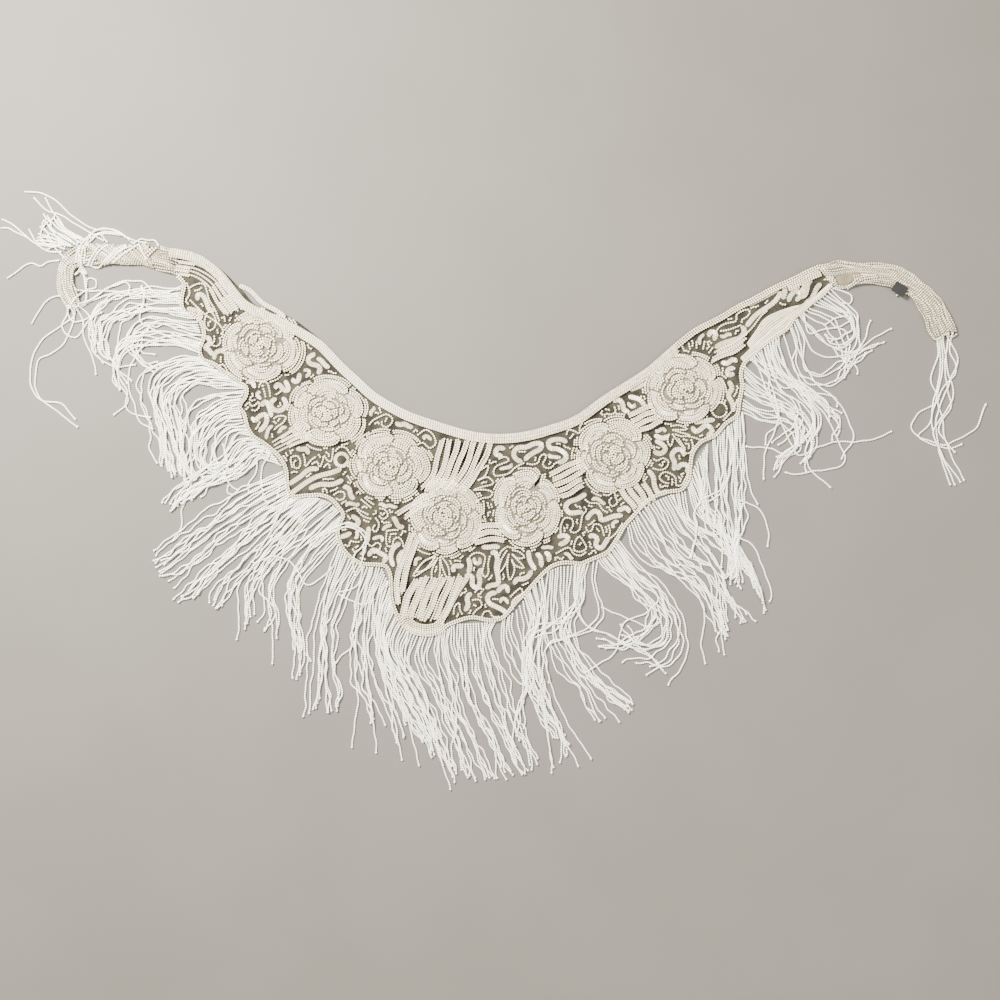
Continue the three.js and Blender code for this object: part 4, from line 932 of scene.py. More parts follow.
@dataclass(frozen=True)
class FoldFinish:
    """Net folded on itself: smooth cream cloth with fine streaks along the fold."""

    name: str = "folded_net"
    light: tuple = srgb(184, 175, 154)
    dark: tuple = srgb(112, 104, 88)
    turn: float = 0.63
    # Streaks for each metre along, across and through the fold
    streak: tuple = (1 / (30 * MM), 1 / (1.5 * MM), 1.0)

    def build(self) -> bpy.types.Material:
        """Mix the finish.

        Returns:
            The material.
        """
        tree = FinishTree(self.name)
        turned = tree.add("ShaderNodeMapping", {"vector_type": "TEXTURE"}, {
            "Vector": tree.place(), "Rotation": (0.0, 0.0, self.turn),
        })
        stretched = tree.add("ShaderNodeVectorMath", {"operation": "MULTIPLY"}, {0: turned, 1: self.streak})
        streaks = tree.add("ShaderNodeTexNoise", None, {
            "Vector": stretched, "Scale": 1.0, "Detail": 2.0, "Roughness": 0.6,
        })
        tone = tree.mix(self.dark, self.light, streaks.fade(0.34, 0.62))
        return tree.surface(
            Base_Color=tone,
            Roughness=0.8,
            Sheen_Weight=0.2,
            Sheen_Roughness=0.5,
            Normal=tree.bump(streaks, 0.5, 0.6),
        )


@dataclass(frozen=True)
class FloorFinish:
    """Plain pale studio floor."""

    name: str = "pale_floor"
    tone: tuple = srgb(92, 89, 85)
    second: tuple = srgb(87, 84, 80)

    def build(self) -> bpy.types.Material:
        """Mix the finish.

        Returns:
            The material.
        """
        tree = FinishTree(self.name)
        tone = tree.mix(self.tone, self.second, tree.noise(160.0, 3.0).fade(0.35, 0.65) * 0.5)
        return tree.surface(Base_Color=tone, Roughness=0.62, Specular_IOR_Level=0.3)


def gaps_of(line: np.ndarray) -> np.ndarray:
    """Give the distances between the points of a line."""
    return np.linalg.norm(np.diff(line, axis=0), axis=1)


def marks_of(gaps: np.ndarray) -> np.ndarray:
    """Give how far along its line each point is, from the distances between them."""
    return np.concatenate([[0.0], np.cumsum(gaps)])


def sampled(line: np.ndarray, marks: np.ndarray, spots: np.ndarray) -> np.ndarray:
    """Read a line that has a mark at each of its points at spots between the marks."""
    return np.stack([np.interp(spots, marks, column) for column in line.T], axis=1)


def equal_steps(line: np.ndarray, step: float) -> np.ndarray:
    """Space the points of a line equally.

    Args:
        line: Points, one in each row.
        step: Distance wanted between them, in the line's own unit.

    Returns:
        Points at equal steps, with both ends kept.
    """
    marks = marks_of(gaps_of(line))
    count = max(int(round(marks[-1] / step)), 1) + 1
    return sampled(line, marks, np.linspace(0.0, marks[-1], count))


def smooth_route(chart: Chart | np.ndarray, step: float) -> np.ndarray:
    """Draw a smooth line through charted points.

    Args:
        chart: x and y of its points by turns, in millimetres, or the points in two columns.
        step: Distance wanted between the points of the result, in millimetres.

    Returns:
        Points of the smooth line, one in each row.
    """
    points = np.array(chart, float).reshape(-1, 2)
    gaps = np.maximum(gaps_of(points), LEAST_GAP)
    marks = marks_of(gaps)
    slopes = np.gradient(points, marks, axis=0)
    fine = np.linspace(0.0, marks[-1], int(marks[-1] / min(step, 1.0)) + 2)
    piece = np.clip(np.searchsorted(marks, fine, side="right") - 1, 0, len(gaps) - 1)
    share = ((fine - marks[piece]) / gaps[piece])[:, None]
    reach = gaps[piece][:, None]
    line = (
        (2 * share**3 - 3 * share**2 + 1) * points[piece]
        + (share**3 - 2 * share**2 + share) * reach * slopes[piece]
        + (3 * share**2 - 2 * share**3) * points[piece + 1]
        + (share**3 - share**2) * reach * slopes[piece + 1]
    )
    return equal_steps(line, step)


def shares_of(line: np.ndarray) -> np.ndarray:
    """Give how far along a line each point is, from 0 to 1."""
    marks = marks_of(gaps_of(line))
    return marks / max(marks[-1], TINY)


def rails_of(left: Chart, right: Chart) -> list[np.ndarray]:
    """Draw two rails with the same number of points.

    Args:
        left: The left rail's chart.
        right: The right rail's chart.

    Returns:
        RAIL_STEPS points of each.
    """
    spots = np.linspace(0, 1, RAIL_STEPS)
    lines = (smooth_route(chart, 2.0) for chart in (left, right))
    return [sampled(line, shares_of(line), spots) for line in lines]


def between(left: Chart, right: Chart, share: float | np.ndarray, step: float) -> np.ndarray:
    """Draw the line that lies between two rails.

    Args:
        left: Rail at share 0.
        right: Rail at share 1.
        share: Place between the rails, one for the line or one for each of RAIL_STEPS points.
        step: Distance wanted between the points of the result, in millimetres.

    Returns:
        Points of the line.
    """
    rails = rails_of(left, right)
    share = np.broadcast_to(np.asarray(share, float), (RAIL_STEPS,))[:, None]
    return equal_steps(rails[0] * (1 - share) + rails[1] * share, step)


def beside(line: np.ndarray, distance: float) -> np.ndarray:
    """Move a flat line to its left.

    Args:
        line: Points in two columns.
        distance: How far, in millimetres; negative is to the right.

    Returns:
        The moved points.
    """
    ways = np.gradient(line[:, :2], axis=0)
    ways /= np.maximum(np.linalg.norm(ways, axis=1), TINY)[:, None]
    return line[:, :2] + distance * np.stack([-ways[:, 1], ways[:, 0]], axis=1)


def smoothed(values: np.ndarray, reach: int) -> np.ndarray:
    """Average a row of values over its neighbours.

    Args:
        values: The values.
        reach: How many neighbours on each side count.

    Returns:
        The smoothed values.
    """
    if len(values) < 3 or reach < 1:
        return values
    padded = np.pad(values, reach, mode="edge")
    return np.convolve(padded, np.ones(2 * reach + 1) / (2 * reach + 1), mode="valid")


def crown_of(across: np.ndarray | float) -> np.ndarray | float:
    """Give the height of a half round over shares of its width, as shares of its rise."""
    return np.sqrt(np.maximum(1 - (2 * across - 1) ** 2, 0.0))


class Relief:
    """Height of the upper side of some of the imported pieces, on a grid."""

    CELL = 2.0
    LEFT, RIGHT = -560.0, 560.0
    NEAR, FAR = -345.0, 350.0
    ABOVE = 60.0
    # Cells by which a place stays inside the far end
    INSIDE = 1.001

    def __init__(self, nodes: dict[str, bpy.types.Object], names: list[str], empty: float) -> None:
        """Measure the pieces from above.

        Args:
            nodes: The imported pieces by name.
            names: Which of them count.
            empty: Height where there is none of them, in millimetres.
        """
        corners: list = []
        faces: list = []
        for name in names:
            mesh = nodes[name].data
            start = len(corners)
            corners.extend(tuple(vertex.co) for vertex in mesh.vertices)
            faces.extend(tuple(start + i for i in face.vertices) for face in mesh.polygons)
        tree = BVHTree.FromPolygons(corners, faces)
        self.columns = np.arange(self.LEFT, self.RIGHT, self.CELL)
        self.rows = np.arange(self.NEAR, self.FAR, self.CELL)
        self.grid = np.full((len(self.rows), len(self.columns)), empty)
        low = np.array(corners).min(0) / MM
        high = np.array(corners).max(0) / MM
        down = Vector((0, 0, -1))
        for j, y in enumerate(self.rows):
            if not low[1] <= y <= high[1]:
                continue
            for i, x in enumerate(self.columns):
                if low[0] <= x <= high[0]:
                    hit = tree.ray_cast(Vector((x * MM, y * MM, self.ABOVE * MM)), down)[0]
                    if hit:
                        self.grid[j, i] = hit.z / MM

    def soften(self, rounds: int) -> "Relief":
        """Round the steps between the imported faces.

        Args:
            rounds: How many times the grid is averaged.

        Returns:
            The relief itself.
        """
        for _ in range(rounds):
            padded = np.pad(self.grid, 1, mode="edge")
            sides = padded[:-2, 1:-1] + padded[2:, 1:-1] + padded[1:-1, :-2] + padded[1:-1, 2:]
            self.grid = 0.5 * self.grid + 0.125 * sides
        return self

    def height(self, places: np.ndarray) -> np.ndarray:
        """Read the height at places.

        Args:
            places: Points with x and y in the first two columns, in millimetres.

        Returns:
            The heights, in millimetres.
        """
        x = np.clip((places[:, 0] - self.LEFT) / self.CELL, 0, len(self.columns) - self.INSIDE)
        y = np.clip((places[:, 1] - self.NEAR) / self.CELL, 0, len(self.rows) - self.INSIDE)
        i, j = x.astype(int), y.astype(int)
        u, v = x - i, y - j
        grid = self.grid
        return (
            grid[j, i] * (1 - u) * (1 - v)
            + grid[j, i + 1] * u * (1 - v)
            + grid[j + 1, i] * (1 - u) * v
            + grid[j + 1, i + 1] * u * v
        )


class Stock:
    """Corners and four-sided faces of one piece, gathered before its mesh is made."""

    def __init__(self) -> None:
        """Start with nothing."""
        self.corners: list[np.ndarray] = []
        self.faces: list[np.ndarray] = []
        self.paints: list[np.ndarray] = []
        self.painted_light: list[np.ndarray] = []
        self.count = 0

    def add_rings(self, rings: np.ndarray, painted_light: np.ndarray | float = 1.0, paint: int = 0) -> None:
        """Add a closed tube through rings of corners that run anticlockwise about its way.

        Args:
            rings: Corners in millimetres, as ring, corner and axis.
            painted_light: Painted light at each corner, from 0 for painted shade in a seam to 1.
            paint: Which of the piece's finishes it has.
        """
        steps, sides = rings.shape[:2]
        index = self.count + np.arange(steps * sides).reshape(steps, sides)
        onward = np.roll(index, -1, axis=1)
        walls = np.stack([index[:-1], onward[:-1], onward[1:], index[1:]], axis=-1).reshape(-1, 4)
        self.corners.append(rings.reshape(-1, 3))
        self.painted_light.append(np.broadcast_to(painted_light, (steps, sides)).ravel())
        self.faces.append(walls)
        caps = [self._cap(index[0][::-1]), self._cap(index[-1])]
        self.faces.extend(caps)
        self.paints.append(np.full(len(walls) + sum(len(cap) for cap in caps), paint))
        self.count += steps * sides

    @staticmethod
    def _cap(loop: np.ndarray) -> np.ndarray:
        """Fill a ring with an even number of corners with four-sided faces."""
        pairs = range(1, len(loop) - 2, 2)
        return np.array([[loop[0], loop[i], loop[i + 1], loop[i + 2]] for i in pairs])

    def build(self, name: str, finishes: list[bpy.types.Material], slot: str,
              *stands_for: str) -> bpy.types.Object:
        """Make the piece's mesh and put the piece on the collar.

        Args:
            name: Name of the piece.
            finishes: Its finishes.
            slot: The record's material slot.
            stands_for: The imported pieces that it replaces.

        Returns:
            The new piece.
        """
        corners = np.concatenate(self.corners) * MM
        faces = np.concatenate(self.faces)
        mesh = bpy.data.meshes.new(name)
        mesh.vertices.add(len(corners))
        mesh.vertices.foreach_set("co", corners.astype(np.float32).ravel())
        mesh.loops.add(faces.size)
        mesh.loops.foreach_set("vertex_index", faces.astype(np.int32).ravel())
        mesh.polygons.add(len(faces))
        mesh.polygons.foreach_set("loop_start", np.arange(0, faces.size, 4, dtype=np.int32))
        mesh.update(calc_edges=True)
        paints = np.concatenate(self.paints).astype(np.int32)
        mesh.polygons.foreach_set("use_smooth", paints == IVORY)
        for finish in finishes:
            mesh.materials.append(finish)
        mesh.polygons.foreach_set("material_index", paints)
        # Painted light of each corner, which the finishes read for painted shade
        painted_light = mesh.attributes.new(PAINTED_LIGHT, "FLOAT", "POINT")
        painted_light.data.foreach_set("value", np.concatenate(self.painted_light).astype(np.float32))
        piece = placed_in_scene(name, mesh)
        attach(piece, slot, *stands_for)
        log.info("%s: %d triangles", name, 2 * len(faces))
        return piece


def placed_in_scene(name: str, data: bpy.types.ID) -> bpy.types.Object:
    """Make an object and put it in the scene.

    Args:
        name: Its name.
        data: Its mesh, camera or light.

    Returns:
        The object.
    """
    item = bpy.data.objects.new(name, data)
    bpy.context.scene.collection.objects.link(item)
    return item


def attach(piece: bpy.types.Object, slot: str, *stands_for: str) -> None:
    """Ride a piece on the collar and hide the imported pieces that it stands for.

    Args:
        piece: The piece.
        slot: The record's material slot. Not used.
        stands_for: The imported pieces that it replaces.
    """
    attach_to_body(piece, BODY)
    if stands_for:
        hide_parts(*stands_for)


def sides_along(line: np.ndarray) -> tuple[np.ndarray, np.ndarray]:
    """Find the directions across and above each point of a line.

    Args:
        line: Points in three columns.

    Returns:
        The unit directions to the left and up.
    """
    onward = np.gradient(line, axis=0)
    onward /= np.maximum(np.linalg.norm(onward, axis=1), TINY)[:, None]
    left = np.cross(UP, onward)
    left /= np.maximum(np.linalg.norm(left, axis=1), TINY)[:, None]
    return left, np.cross(onward, left)


def add_beads(stock: Stock, line: np.ndarray, size: BeadSize, fat: float = 1.0, knob: float = 1.0,
              row_light: float = 1.0) -> None:
    """String beads along a line.

    Args:
        stock: Where the mesh is gathered.
        line: The thread, at half a bead's pitch between its points, in millimetres.
        size: Size of the beads.
        fat: Scale of their thickness.
        knob: Scale of the last bead.
        row_light: Painted light over the whole string, from 0 for painted shade in a deep crease to 1.
    """
    if len(line) < 3:
        return
    left, above = sides_along(line)
    radii = size.ring_radii(len(line)) * fat
    radii[-1] = radii[0]
    # Painted shade at the waists between beads, none for a thread, and over the whole string by its row
    # light
    waist_light = float(size.waist > THREAD_WAIST)
    painted_light = row_light * np.tile(np.where(radii > radii.mean(), 1.0, waist_light)[:, None], (1, BEAD_SIDES))
    last_bead = len(radii) - 3 + len(radii) % 2
    radii[last_bead] *= knob
    angles = np.arange(BEAD_SIDES) * math.tau / BEAD_SIDES + math.tau / (2 * BEAD_SIDES)
    leftward = left[:, None, :] * np.cos(angles)[None, :, None]
    upward = above[:, None, :] * np.sin(angles)[None, :, None]
    stock.add_rings(line[:, None, :] + radii[:, None, None] * (leftward + upward), painted_light)


def add_sequins(stock: Stock, line: np.ndarray, size: SequinSize, thin: float = 1.0) -> None:
    """Lay overlapping sequins along a line.

    Args:
        stock: Where the mesh is gathered.
        line: The stitched line, in millimetres.
        size: Size of the ribbon that they make.
        thin: Scale of its width.
    """
    count = max(int(round(gaps_of(line).sum() / size.pitch)), 2)
    starts = np.arange(count)
    ends = np.stack([starts + end for end in SEQUIN_ENDS], axis=1)
    spots = np.concatenate([ends.ravel(), [count]])
    lips = np.concatenate([np.tile([size.tuck, size.lip], count), [LAST_LIP]])
    spine = sampled(line, shares_of(line) * count, spots)
    left, above = sides_along(spine)
    taper = np.clip(np.minimum(spots, count - spots) / SEQUIN_TAPER, 0.0, 1.0)
    half = 0.5 * size.width * thin * np.sqrt(np.maximum(1 - (1 - taper) ** 2, LEAST_TAPER))
    rings = (
        spine[:, None, :]
        + left[:, None, :] * (half[:, None] * SEQUIN_ACROSS[None, :])[:, :, None]
        + above[:, None, :] * (lips[:, None] * SEQUIN_RISE[None, :])[:, :, None]
    )
    # Painted shade on each sequin's low, tucked end and, by the corners, at the ribbon's edges
    lit = np.where(lips > size.tuck, 1.0, TUCKED_PAINTED_LIGHT)
    stock.add_rings(rings, lit[:, None] * SEQUIN_PAINTED_LIGHT[None, :], PEARL)


def inside(outline: np.ndarray, places: np.ndarray) -> np.ndarray:
    """Tell which places lie within an outline.

    Args:
        outline: Corners of a closed outline.
        places: Points in two columns.

    Returns:
        True for each place within it.
    """
    within = np.zeros(len(places), bool)
    for start, end in zip(outline, np.roll(outline, -1, axis=0)):
        rises = (start[1] > places[:, 1]) != (end[1] > places[:, 1])
        run = (end[0] - start[0]) * (places[:, 1] - start[1]) / (end[1] - start[1] or TINY) + start[0]
        within ^= rises & (places[:, 0] < run)
    return within


def runs_of(route: np.ndarray, shown: np.ndarray) -> list[np.ndarray]:
    """Cut a route into the runs that show and are long enough to stitch."""
    edges = np.flatnonzero(np.diff(np.concatenate([[0], shown.astype(int), [0]])))
    return [route[a:b] for a, b in zip(edges[::2], edges[1::2]) if b - a > SHORTEST_RUN]


def on_height(line: np.ndarray, height: np.ndarray | float) -> np.ndarray:
    """Give a flat line its heights as a third column."""
    return np.column_stack([line[:, :2], np.broadcast_to(height, (len(line),))])


@dataclass
class NetSheet:
    """The sheer net ground, cut with a scalloped hem and laid in soft folds."""

    TRIANGLES_INSIDE = 1
    NEAREST = 1e-4

    cell: float = 4.5
    wall: float = 0.3
    outline: np.ndarray = field(init=False)

    def __post_init__(self) -> None:
        """Draw the outline of the cut."""
        neck = smooth_route(NECK, self.cell)
        hem = smooth_route(HEM, self.cell)[::-1]
        self.outline = np.concatenate([neck, hem])

    def build(self, ground: Relief, finish: NetFinish) -> bpy.types.Object:
        """Lay the sheet over the ground's folds.

        Args:
            ground: Height of the net.
            finish: Finish of the net.

        Returns:
            The sheet.
        """
        low, high = self.outline.min(0), self.outline.max(0)
        x, y = np.meshgrid(np.arange(low[0], high[0], self.cell), np.arange(low[1], high[1], self.cell))
        grid = np.column_stack([x.ravel(), y.ravel()])
        grid = grid[inside(self.outline, grid)]
        places = np.concatenate([self.outline, grid])
        loop = list(range(len(self.outline)))
        corners, _, faces, *_ = delaunay_2d_cdt(
            [Vector(place) for place in places], [], [loop], self.TRIANGLES_INSIDE, self.NEAREST)
        flat = np.array([tuple(corner) for corner in corners])
        laid = on_height(flat, ground.height(flat)) * MM
        mesh = bpy.data.meshes.new("net_sheet")
        mesh.from_pydata(laid.tolist(), [], [list(face) for face in faces])
        mesh.polygons.foreach_set("use_smooth", np.ones(len(mesh.polygons), bool))
        mesh.materials.append(finish.build())
        sheet = placed_in_scene("net_sheet", mesh)
        thicken(sheet, self.wall)
        attach(sheet, "net", "net_ground")
        log.info("net_sheet: %d faces", len(sheet.data.polygons))
        return sheet

    def area(self) -> float:
        """Give the cut's flat area in square metres."""
        x, y = self.outline.T * MM
        return float(abs(np.dot(x, np.roll(y, -1)) - np.dot(y, np.roll(x, -1))) / 2)

    def flat_size(self) -> tuple[float, float]:
        """Give the width and length of the cut in metres."""
        spread = (self.outline.max(0) - self.outline.min(0)) * MM
        return float(spread[0]), float(spread[1])


def thicken(piece: bpy.types.Object, wall: float) -> None:
    """Give a sheet its thickness below its own face.

    Args:
        piece: The sheet.
        wall: Its thickness in millimetres.
    """
    bpy.ops.object.select_all(action="DESELECT")
    piece.select_set(True)
    bpy.context.view_layer.objects.active = piece
    wall_step = piece.modifiers.new("wall", "SOLIDIFY")
    wall_step.thickness = wall * MM
    wall_step.offset = -1.0
    bpy.ops.object.modifier_apply(modifier=wall_step.name)


class Cover:
    """Which places of the net already carry rows."""

    CELL = 1.5
    MARGIN = 10
    SLACK = 0.1

    def __init__(self, outline: np.ndarray) -> None:
        """Start with bare net.

        Args:
            outline: Outline of the net.
        """
        self.low = outline.min(0) - self.MARGIN
        spread = outline.max(0) + self.MARGIN - self.low
        self.shape = tuple((spread / self.CELL).astype(int) + 1)
        x, y = np.meshgrid(*(np.arange(n) * self.CELL + start for n, start in zip(self.shape, self.low)),
                           indexing="ij")
        within = inside(outline, np.column_stack([x.ravel(), y.ravel()]))
        self.taken = ~within.reshape(self.shape)

    def _cells(self, line: np.ndarray, reach: float) -> tuple[np.ndarray, np.ndarray]:
        """Find the cells near a line.

        Args:
            line: Points of the line.
            reach: How far to each side counts.

        Returns:
            Column and row of the cells.
        """
        steps = np.arange(-reach, reach + self.SLACK, self.CELL)
        dx, dy = (grid.ravel() for grid in np.meshgrid(steps, steps))
        near = np.hypot(dx, dy) <= reach + self.SLACK
        around = np.column_stack([dx[near], dy[near]])
        places = (line[:, None, :2] + around[None, :, :]).reshape(-1, 2)
        cells = ((places - self.low) / self.CELL).astype(int)
        cells = np.clip(cells, 0, np.array(self.shape) - 1)
        return cells[:, 0], cells[:, 1]

    def mark(self, line: np.ndarray, reach: float) -> None:
        """Mark the place of a row with this half width as taken."""
        self.taken[self._cells(line, reach)] = True

    def free_spots(self) -> np.ndarray:
        """List the middles of the bare cells."""
        return np.argwhere(~self.taken) * self.CELL + self.low

    def is_free(self, line: np.ndarray, reach: float) -> bool:
        """Tell whether a row with this half width would lie on bare net."""
        return not self.taken[self._cells(line, reach)].any()

    def free_along(self, line: np.ndarray, reach: float) -> np.ndarray:
        """Tell which points of a row with this half width would lie on bare net."""
        return np.array([self.is_free(spot[None], reach) for spot in line])


@dataclass(frozen=True)
class Curl:
    """A winding row that grows over bare net, in millimetres."""

    STEP = 1.2
    # Turns that are tried in order, away from what is in the way
    TURNS = (0.0, 0.2, -0.2, 0.42, -0.42)
    WAVES = (0.8, 1.25)
    SWINGS = (0.7, 1.15)
    # Half widths of its own newest part, which can't be in its way
    NEWEST = 3.4
    FAR_AWAY = 99.0

    reach: float
    longest: float
    shortest: float
    wave: float
    swing: float

    def grow(self, spot: np.ndarray, cover: Cover, chance: random.Random) -> np.ndarray:
        """Grow one row from a bare spot, winding and turning away from what is taken.

        Args:
            spot: Where it starts.
            cover: Which places are taken.
            chance: Source of its chances.

        Returns:
            The row's route.
        """
        heading = chance.uniform(0, math.tau)
        phase = chance.uniform(0, math.tau)
        wave = self.wave * chance.uniform(*self.WAVES)
        swing = self.swing * chance.uniform(*self.SWINGS)
        trail = self._walk([np.array(spot)], heading, (wave, swing, phase), cover)
        back = self._walk(trail[::-1], heading + math.pi, (wave, swing, phase), cover)
        return np.array(back)

    def _walk(self, trail: list, heading: float, swerve: tuple[float, float, float], cover: Cover) -> list:
        """Lengthen a route from its last point.

        Args:
            trail: The route so far.
            heading: The way it first goes.
            swerve: Wavelength, swing and phase of its winding.
            cover: Which places are taken.

        Returns:
            The longer route.
        """
        wave, swing, phase = swerve
        start = len(trail)
        trail = list(trail)
        lag = int(self.NEWEST * self.reach / self.STEP) + 1
        while (len(trail) - start) * self.STEP < self.longest / 2:
            bend = math.cos(math.tau * (len(trail) - start) * self.STEP / wave + phase)
            wanted = heading + swing * math.tau * self.STEP / wave * bend
            older = np.array(trail[:-lag]) if len(trail) > lag else np.empty((0, 2))
            for turn in self.TURNS:
                way = np.array([math.cos(wanted + turn), math.sin(wanted + turn)])
                tip = trail[-1] + self.STEP * way
                nearest = np.linalg.norm(older - tip, axis=1).min(initial=self.FAR_AWAY)
                clear = nearest > 2 * self.reach
                if clear and cover.is_free(tip[None], self.reach):
                    break
            else:
                break
            heading = wanted + turn
            trail.append(tip)
        return trail


class Embroidery:
    """Bead rows and sequin ribbons stitched to the net."""

    # Height of a row's middle over the ground: share of a bead's radius, and of a ribbon in millimetres
    BEAD_SEAT = 0.75
    RIBBON_SEAT = 0.3
    BEAD_LIFT, RIBBON_LIFT = 0.4, 0.2
    # Room that the bead rows on both sides of a ribbon take from it, and their distance from it
    EDGES = 5.3
    EDGE_SEAT = 0.8
    SLIMMEST = 2.0
    # Share of a bundle's length that is narrower than its nominal width
    NARROW = 0.35
    STEP = 1.2
    # Ranges of chance: waves, their swing, the ribbons' widths and the steps by which an end grows
    WAVES = (0.8, 1.6)
    SWAYS = (0.03, 0.1)
    WIDTHS = (0.96, 1.06)
    GROWTH = (-2.5, 3.0)
    # Sides of a ribbon with the least room at which something is stitched there
    SIDES = ((0, 0.0), (-1, 4.5), (1, 5.4))

    def __init__(self, ground: Relief, cover: Cover) -> None:
        """Keep the height of what the rows lie on and the places that are taken."""
        self.ground = ground
        self.cover = cover

    def row(self, stock: Stock, line: np.ndarray, kind: RowKind, lift: float = 0.0,
            width: float = 1.0) -> None:
        """Stitch one row.

        Args:
            stock: Where its mesh is gathered.
            line: Its flat route.
            kind: What it is made of.
            lift: How far above the ground it lies.
            width: Scale of its width.
        """
        if kind in ROW_BEADS:
            size, add = ROW_BEADS[kind], add_beads
            seat, half = self.BEAD_SEAT * size.radius, size.radius
        else:
            size, add = ROW_SEQUINS[kind], add_sequins
            seat, half = self.RIBBON_SEAT, 0.5 * size.width
        route = equal_steps(np.asarray(line, float), size.pitch / 2)
        height = self.ground.height(route) + seat + lift
        add(stock, on_height(route, smoothed(height, 1)), size, width)
        self.cover.mark(route, half)

    def bundle(self, stock: Stock, bundle: Bundle) -> None:
        """Stitch parallel ribbons with bead rows between them, each of a slightly different length.

        Args:
            stock: Where the mesh is gathered.
            bundle: The bundle's rails and how many ribbons it has.
        """
        chance = random.Random(bundle.ribbons + int(bundle.left[0]))
        left, right = rails_of(bundle.left, bundle.right)
        rooms = np.linalg.norm(left - right, axis=1) / bundle.ribbons
        room = np.quantile(rooms, self.NARROW)
        spots = np.linspace(0, 1, RAIL_STEPS)
        for i in range(bundle.ribbons):
            phase = math.tau * (spots * chance.uniform(*self.WAVES) + chance.random())
            sway = chance.uniform(*self.SWAYS) * np.sin(phase)
            route = between(bundle.left, bundle.right, (i + 0.5 + sway) / bundle.ribbons, self.STEP)
            width = max(room * chance.uniform(*self.WIDTHS) - self.EDGES, self.SLIMMEST)
            for side, least in self.SIDES:
                line = self._regrown(beside(route, side * (0.5 * width + self.EDGE_SEAT)), chance)
                for run in runs_of(line, np.interp(shares_of(line), spots, rooms) > least):
                    if side:
                        self.row(stock, run, RowKind.FINE_BEADS, self.BEAD_LIFT)
                    else:
                        self.row(stock, run, RowKind.SEQUINS, self.RIBBON_LIFT, width / SEQUIN_WIDTH)

    def _regrown(self, route: np.ndarray, chance: random.Random) -> np.ndarray:
        """Make a route a little longer or shorter at both ends.

        Args:
            route: The route.
            chance: Source of its chances.

        Returns:
            The new route.
        """
        for _ in range(2):
            steps = chance.uniform(*self.GROWTH)
            if steps < 0:
                route = route[int(-steps):]
            else:
                onward = (route[0] - route[1]) * np.arange(int(steps), 0, -1)[:, None]
                route = np.concatenate([route[0] + onward, route])
            route = route[::-1]
        return route


@dataclass(frozen=True)
class PetalLayer:
    """One ring of petals, with its sizes as shares of the rose's half width.

    The seat is how far a petal's own middle lies from the rose's, and the reach is the petal's radius.
    """

    petals: int
    seat: float
    reach: float
    half_angle: float
    lift: float
    patterns: tuple[str, ...]


ROW_MARKS = {
    "o": (RowKind.BEADS, 2.5),
    "f": (RowKind.FINE_BEADS, 2.3),
    "s": (RowKind.SEQUINS, 5.7),
    "m": (RowKind.SLIM_SEQUINS, 4.2),
}
PETAL_LAYERS = (
    PetalLayer(6, 0.36, 0.68, 1.02, 0.0, ("ofsfoffff", "offsoffff", "ofmfmffff", "offoffofff")),
    PetalLayer(6, 0.27, 0.33, 1.25, 0.2, ("omff", "offff", "ofmf")),
    PetalLayer(5, 0.19, 0.25, 1.35, 0.4, ("offf",)),
    PetalLayer(4, 0.1, 0.19, 1.5, 0.6, ("off",)),
)


@dataclass(frozen=True)
class Petal:
    """One petal about the rose's middle, in millimetres of a rose of nominal size."""

    POINTS = 49
    # Irregularity of a row: its size in millimetres and how often it waves
    STRAY = 0.35
    STRAYS = (3, 8)
    # How far to each side a petal covers, as a share of its half angle
    SIDE = 1.04
    # How far its rim draws in towards both sides and at their corners, each with its power
    DRAWN, DRAWN_POWER = 0.05, 3
    CORNER, CORNER_POWER = 0.12, 10

    layer: PetalLayer
    middle: np.ndarray
    heading: float
    half_angle: float
    reach: float
    pattern: str

    def rows(self) -> list[tuple[RowKind, float]]:
        """List its rows, outermost first.

        Returns:
            The kind of each row and its distance from the rim.
        """
        found = []
        edge = -0.5 * ROW_MARKS[self.pattern[0]][1]
        for mark in self.pattern:
            kind, width = ROW_MARKS[mark]
            found.append((kind, edge + 0.5 * width))
            edge += width
        return found

    def row(self, inset: float, chance: random.Random) -> np.ndarray:
        """Draw one of its rows, hooked inwards at both ends.

        Args:
            inset: Distance of the row from the rim.
            chance: Source of its small irregularities.

        Returns:
            The row's route about the rose's middle.
        """
        turn = np.linspace(-1, 1, self.POINTS)
        radius = self._rim(turn) * (self.reach - inset) / self.reach
        radius += self.STRAY * np.sin(turn * chance.uniform(*self.STRAYS) + chance.uniform(0, math.tau))
        angle = self.heading + turn * self.half_angle
        return self.middle + np.column_stack([radius * np.cos(angle), radius * np.sin(angle)])

    def _rim(self, turn: np.ndarray) -> np.ndarray:
        """Give the rim's radius across the petal, where turn runs from -1 to 1."""
        away = np.abs(turn)
        drawn = self.DRAWN * away**self.DRAWN_POWER
        return self.reach * (1 - drawn - self.CORNER * away**self.CORNER_POWER)

    def covers(self, places: np.ndarray, margin: float) -> np.ndarray:
        """Tell which places lie under the petal.

        Args:
            places: Places about the rose's middle.
            margin: How far outside its rim still counts.

        Returns:
            True for each place under it.
        """
        away = places - self.middle
        angle = np.arctan2(away[:, 1], away[:, 0])
        turn = ((angle - self.heading + math.pi) % math.tau - math.pi) / self.half_angle
        return (np.abs(turn) < self.SIDE) & (np.hypot(away[:, 0], away[:, 1]) < self._rim(turn) + margin)


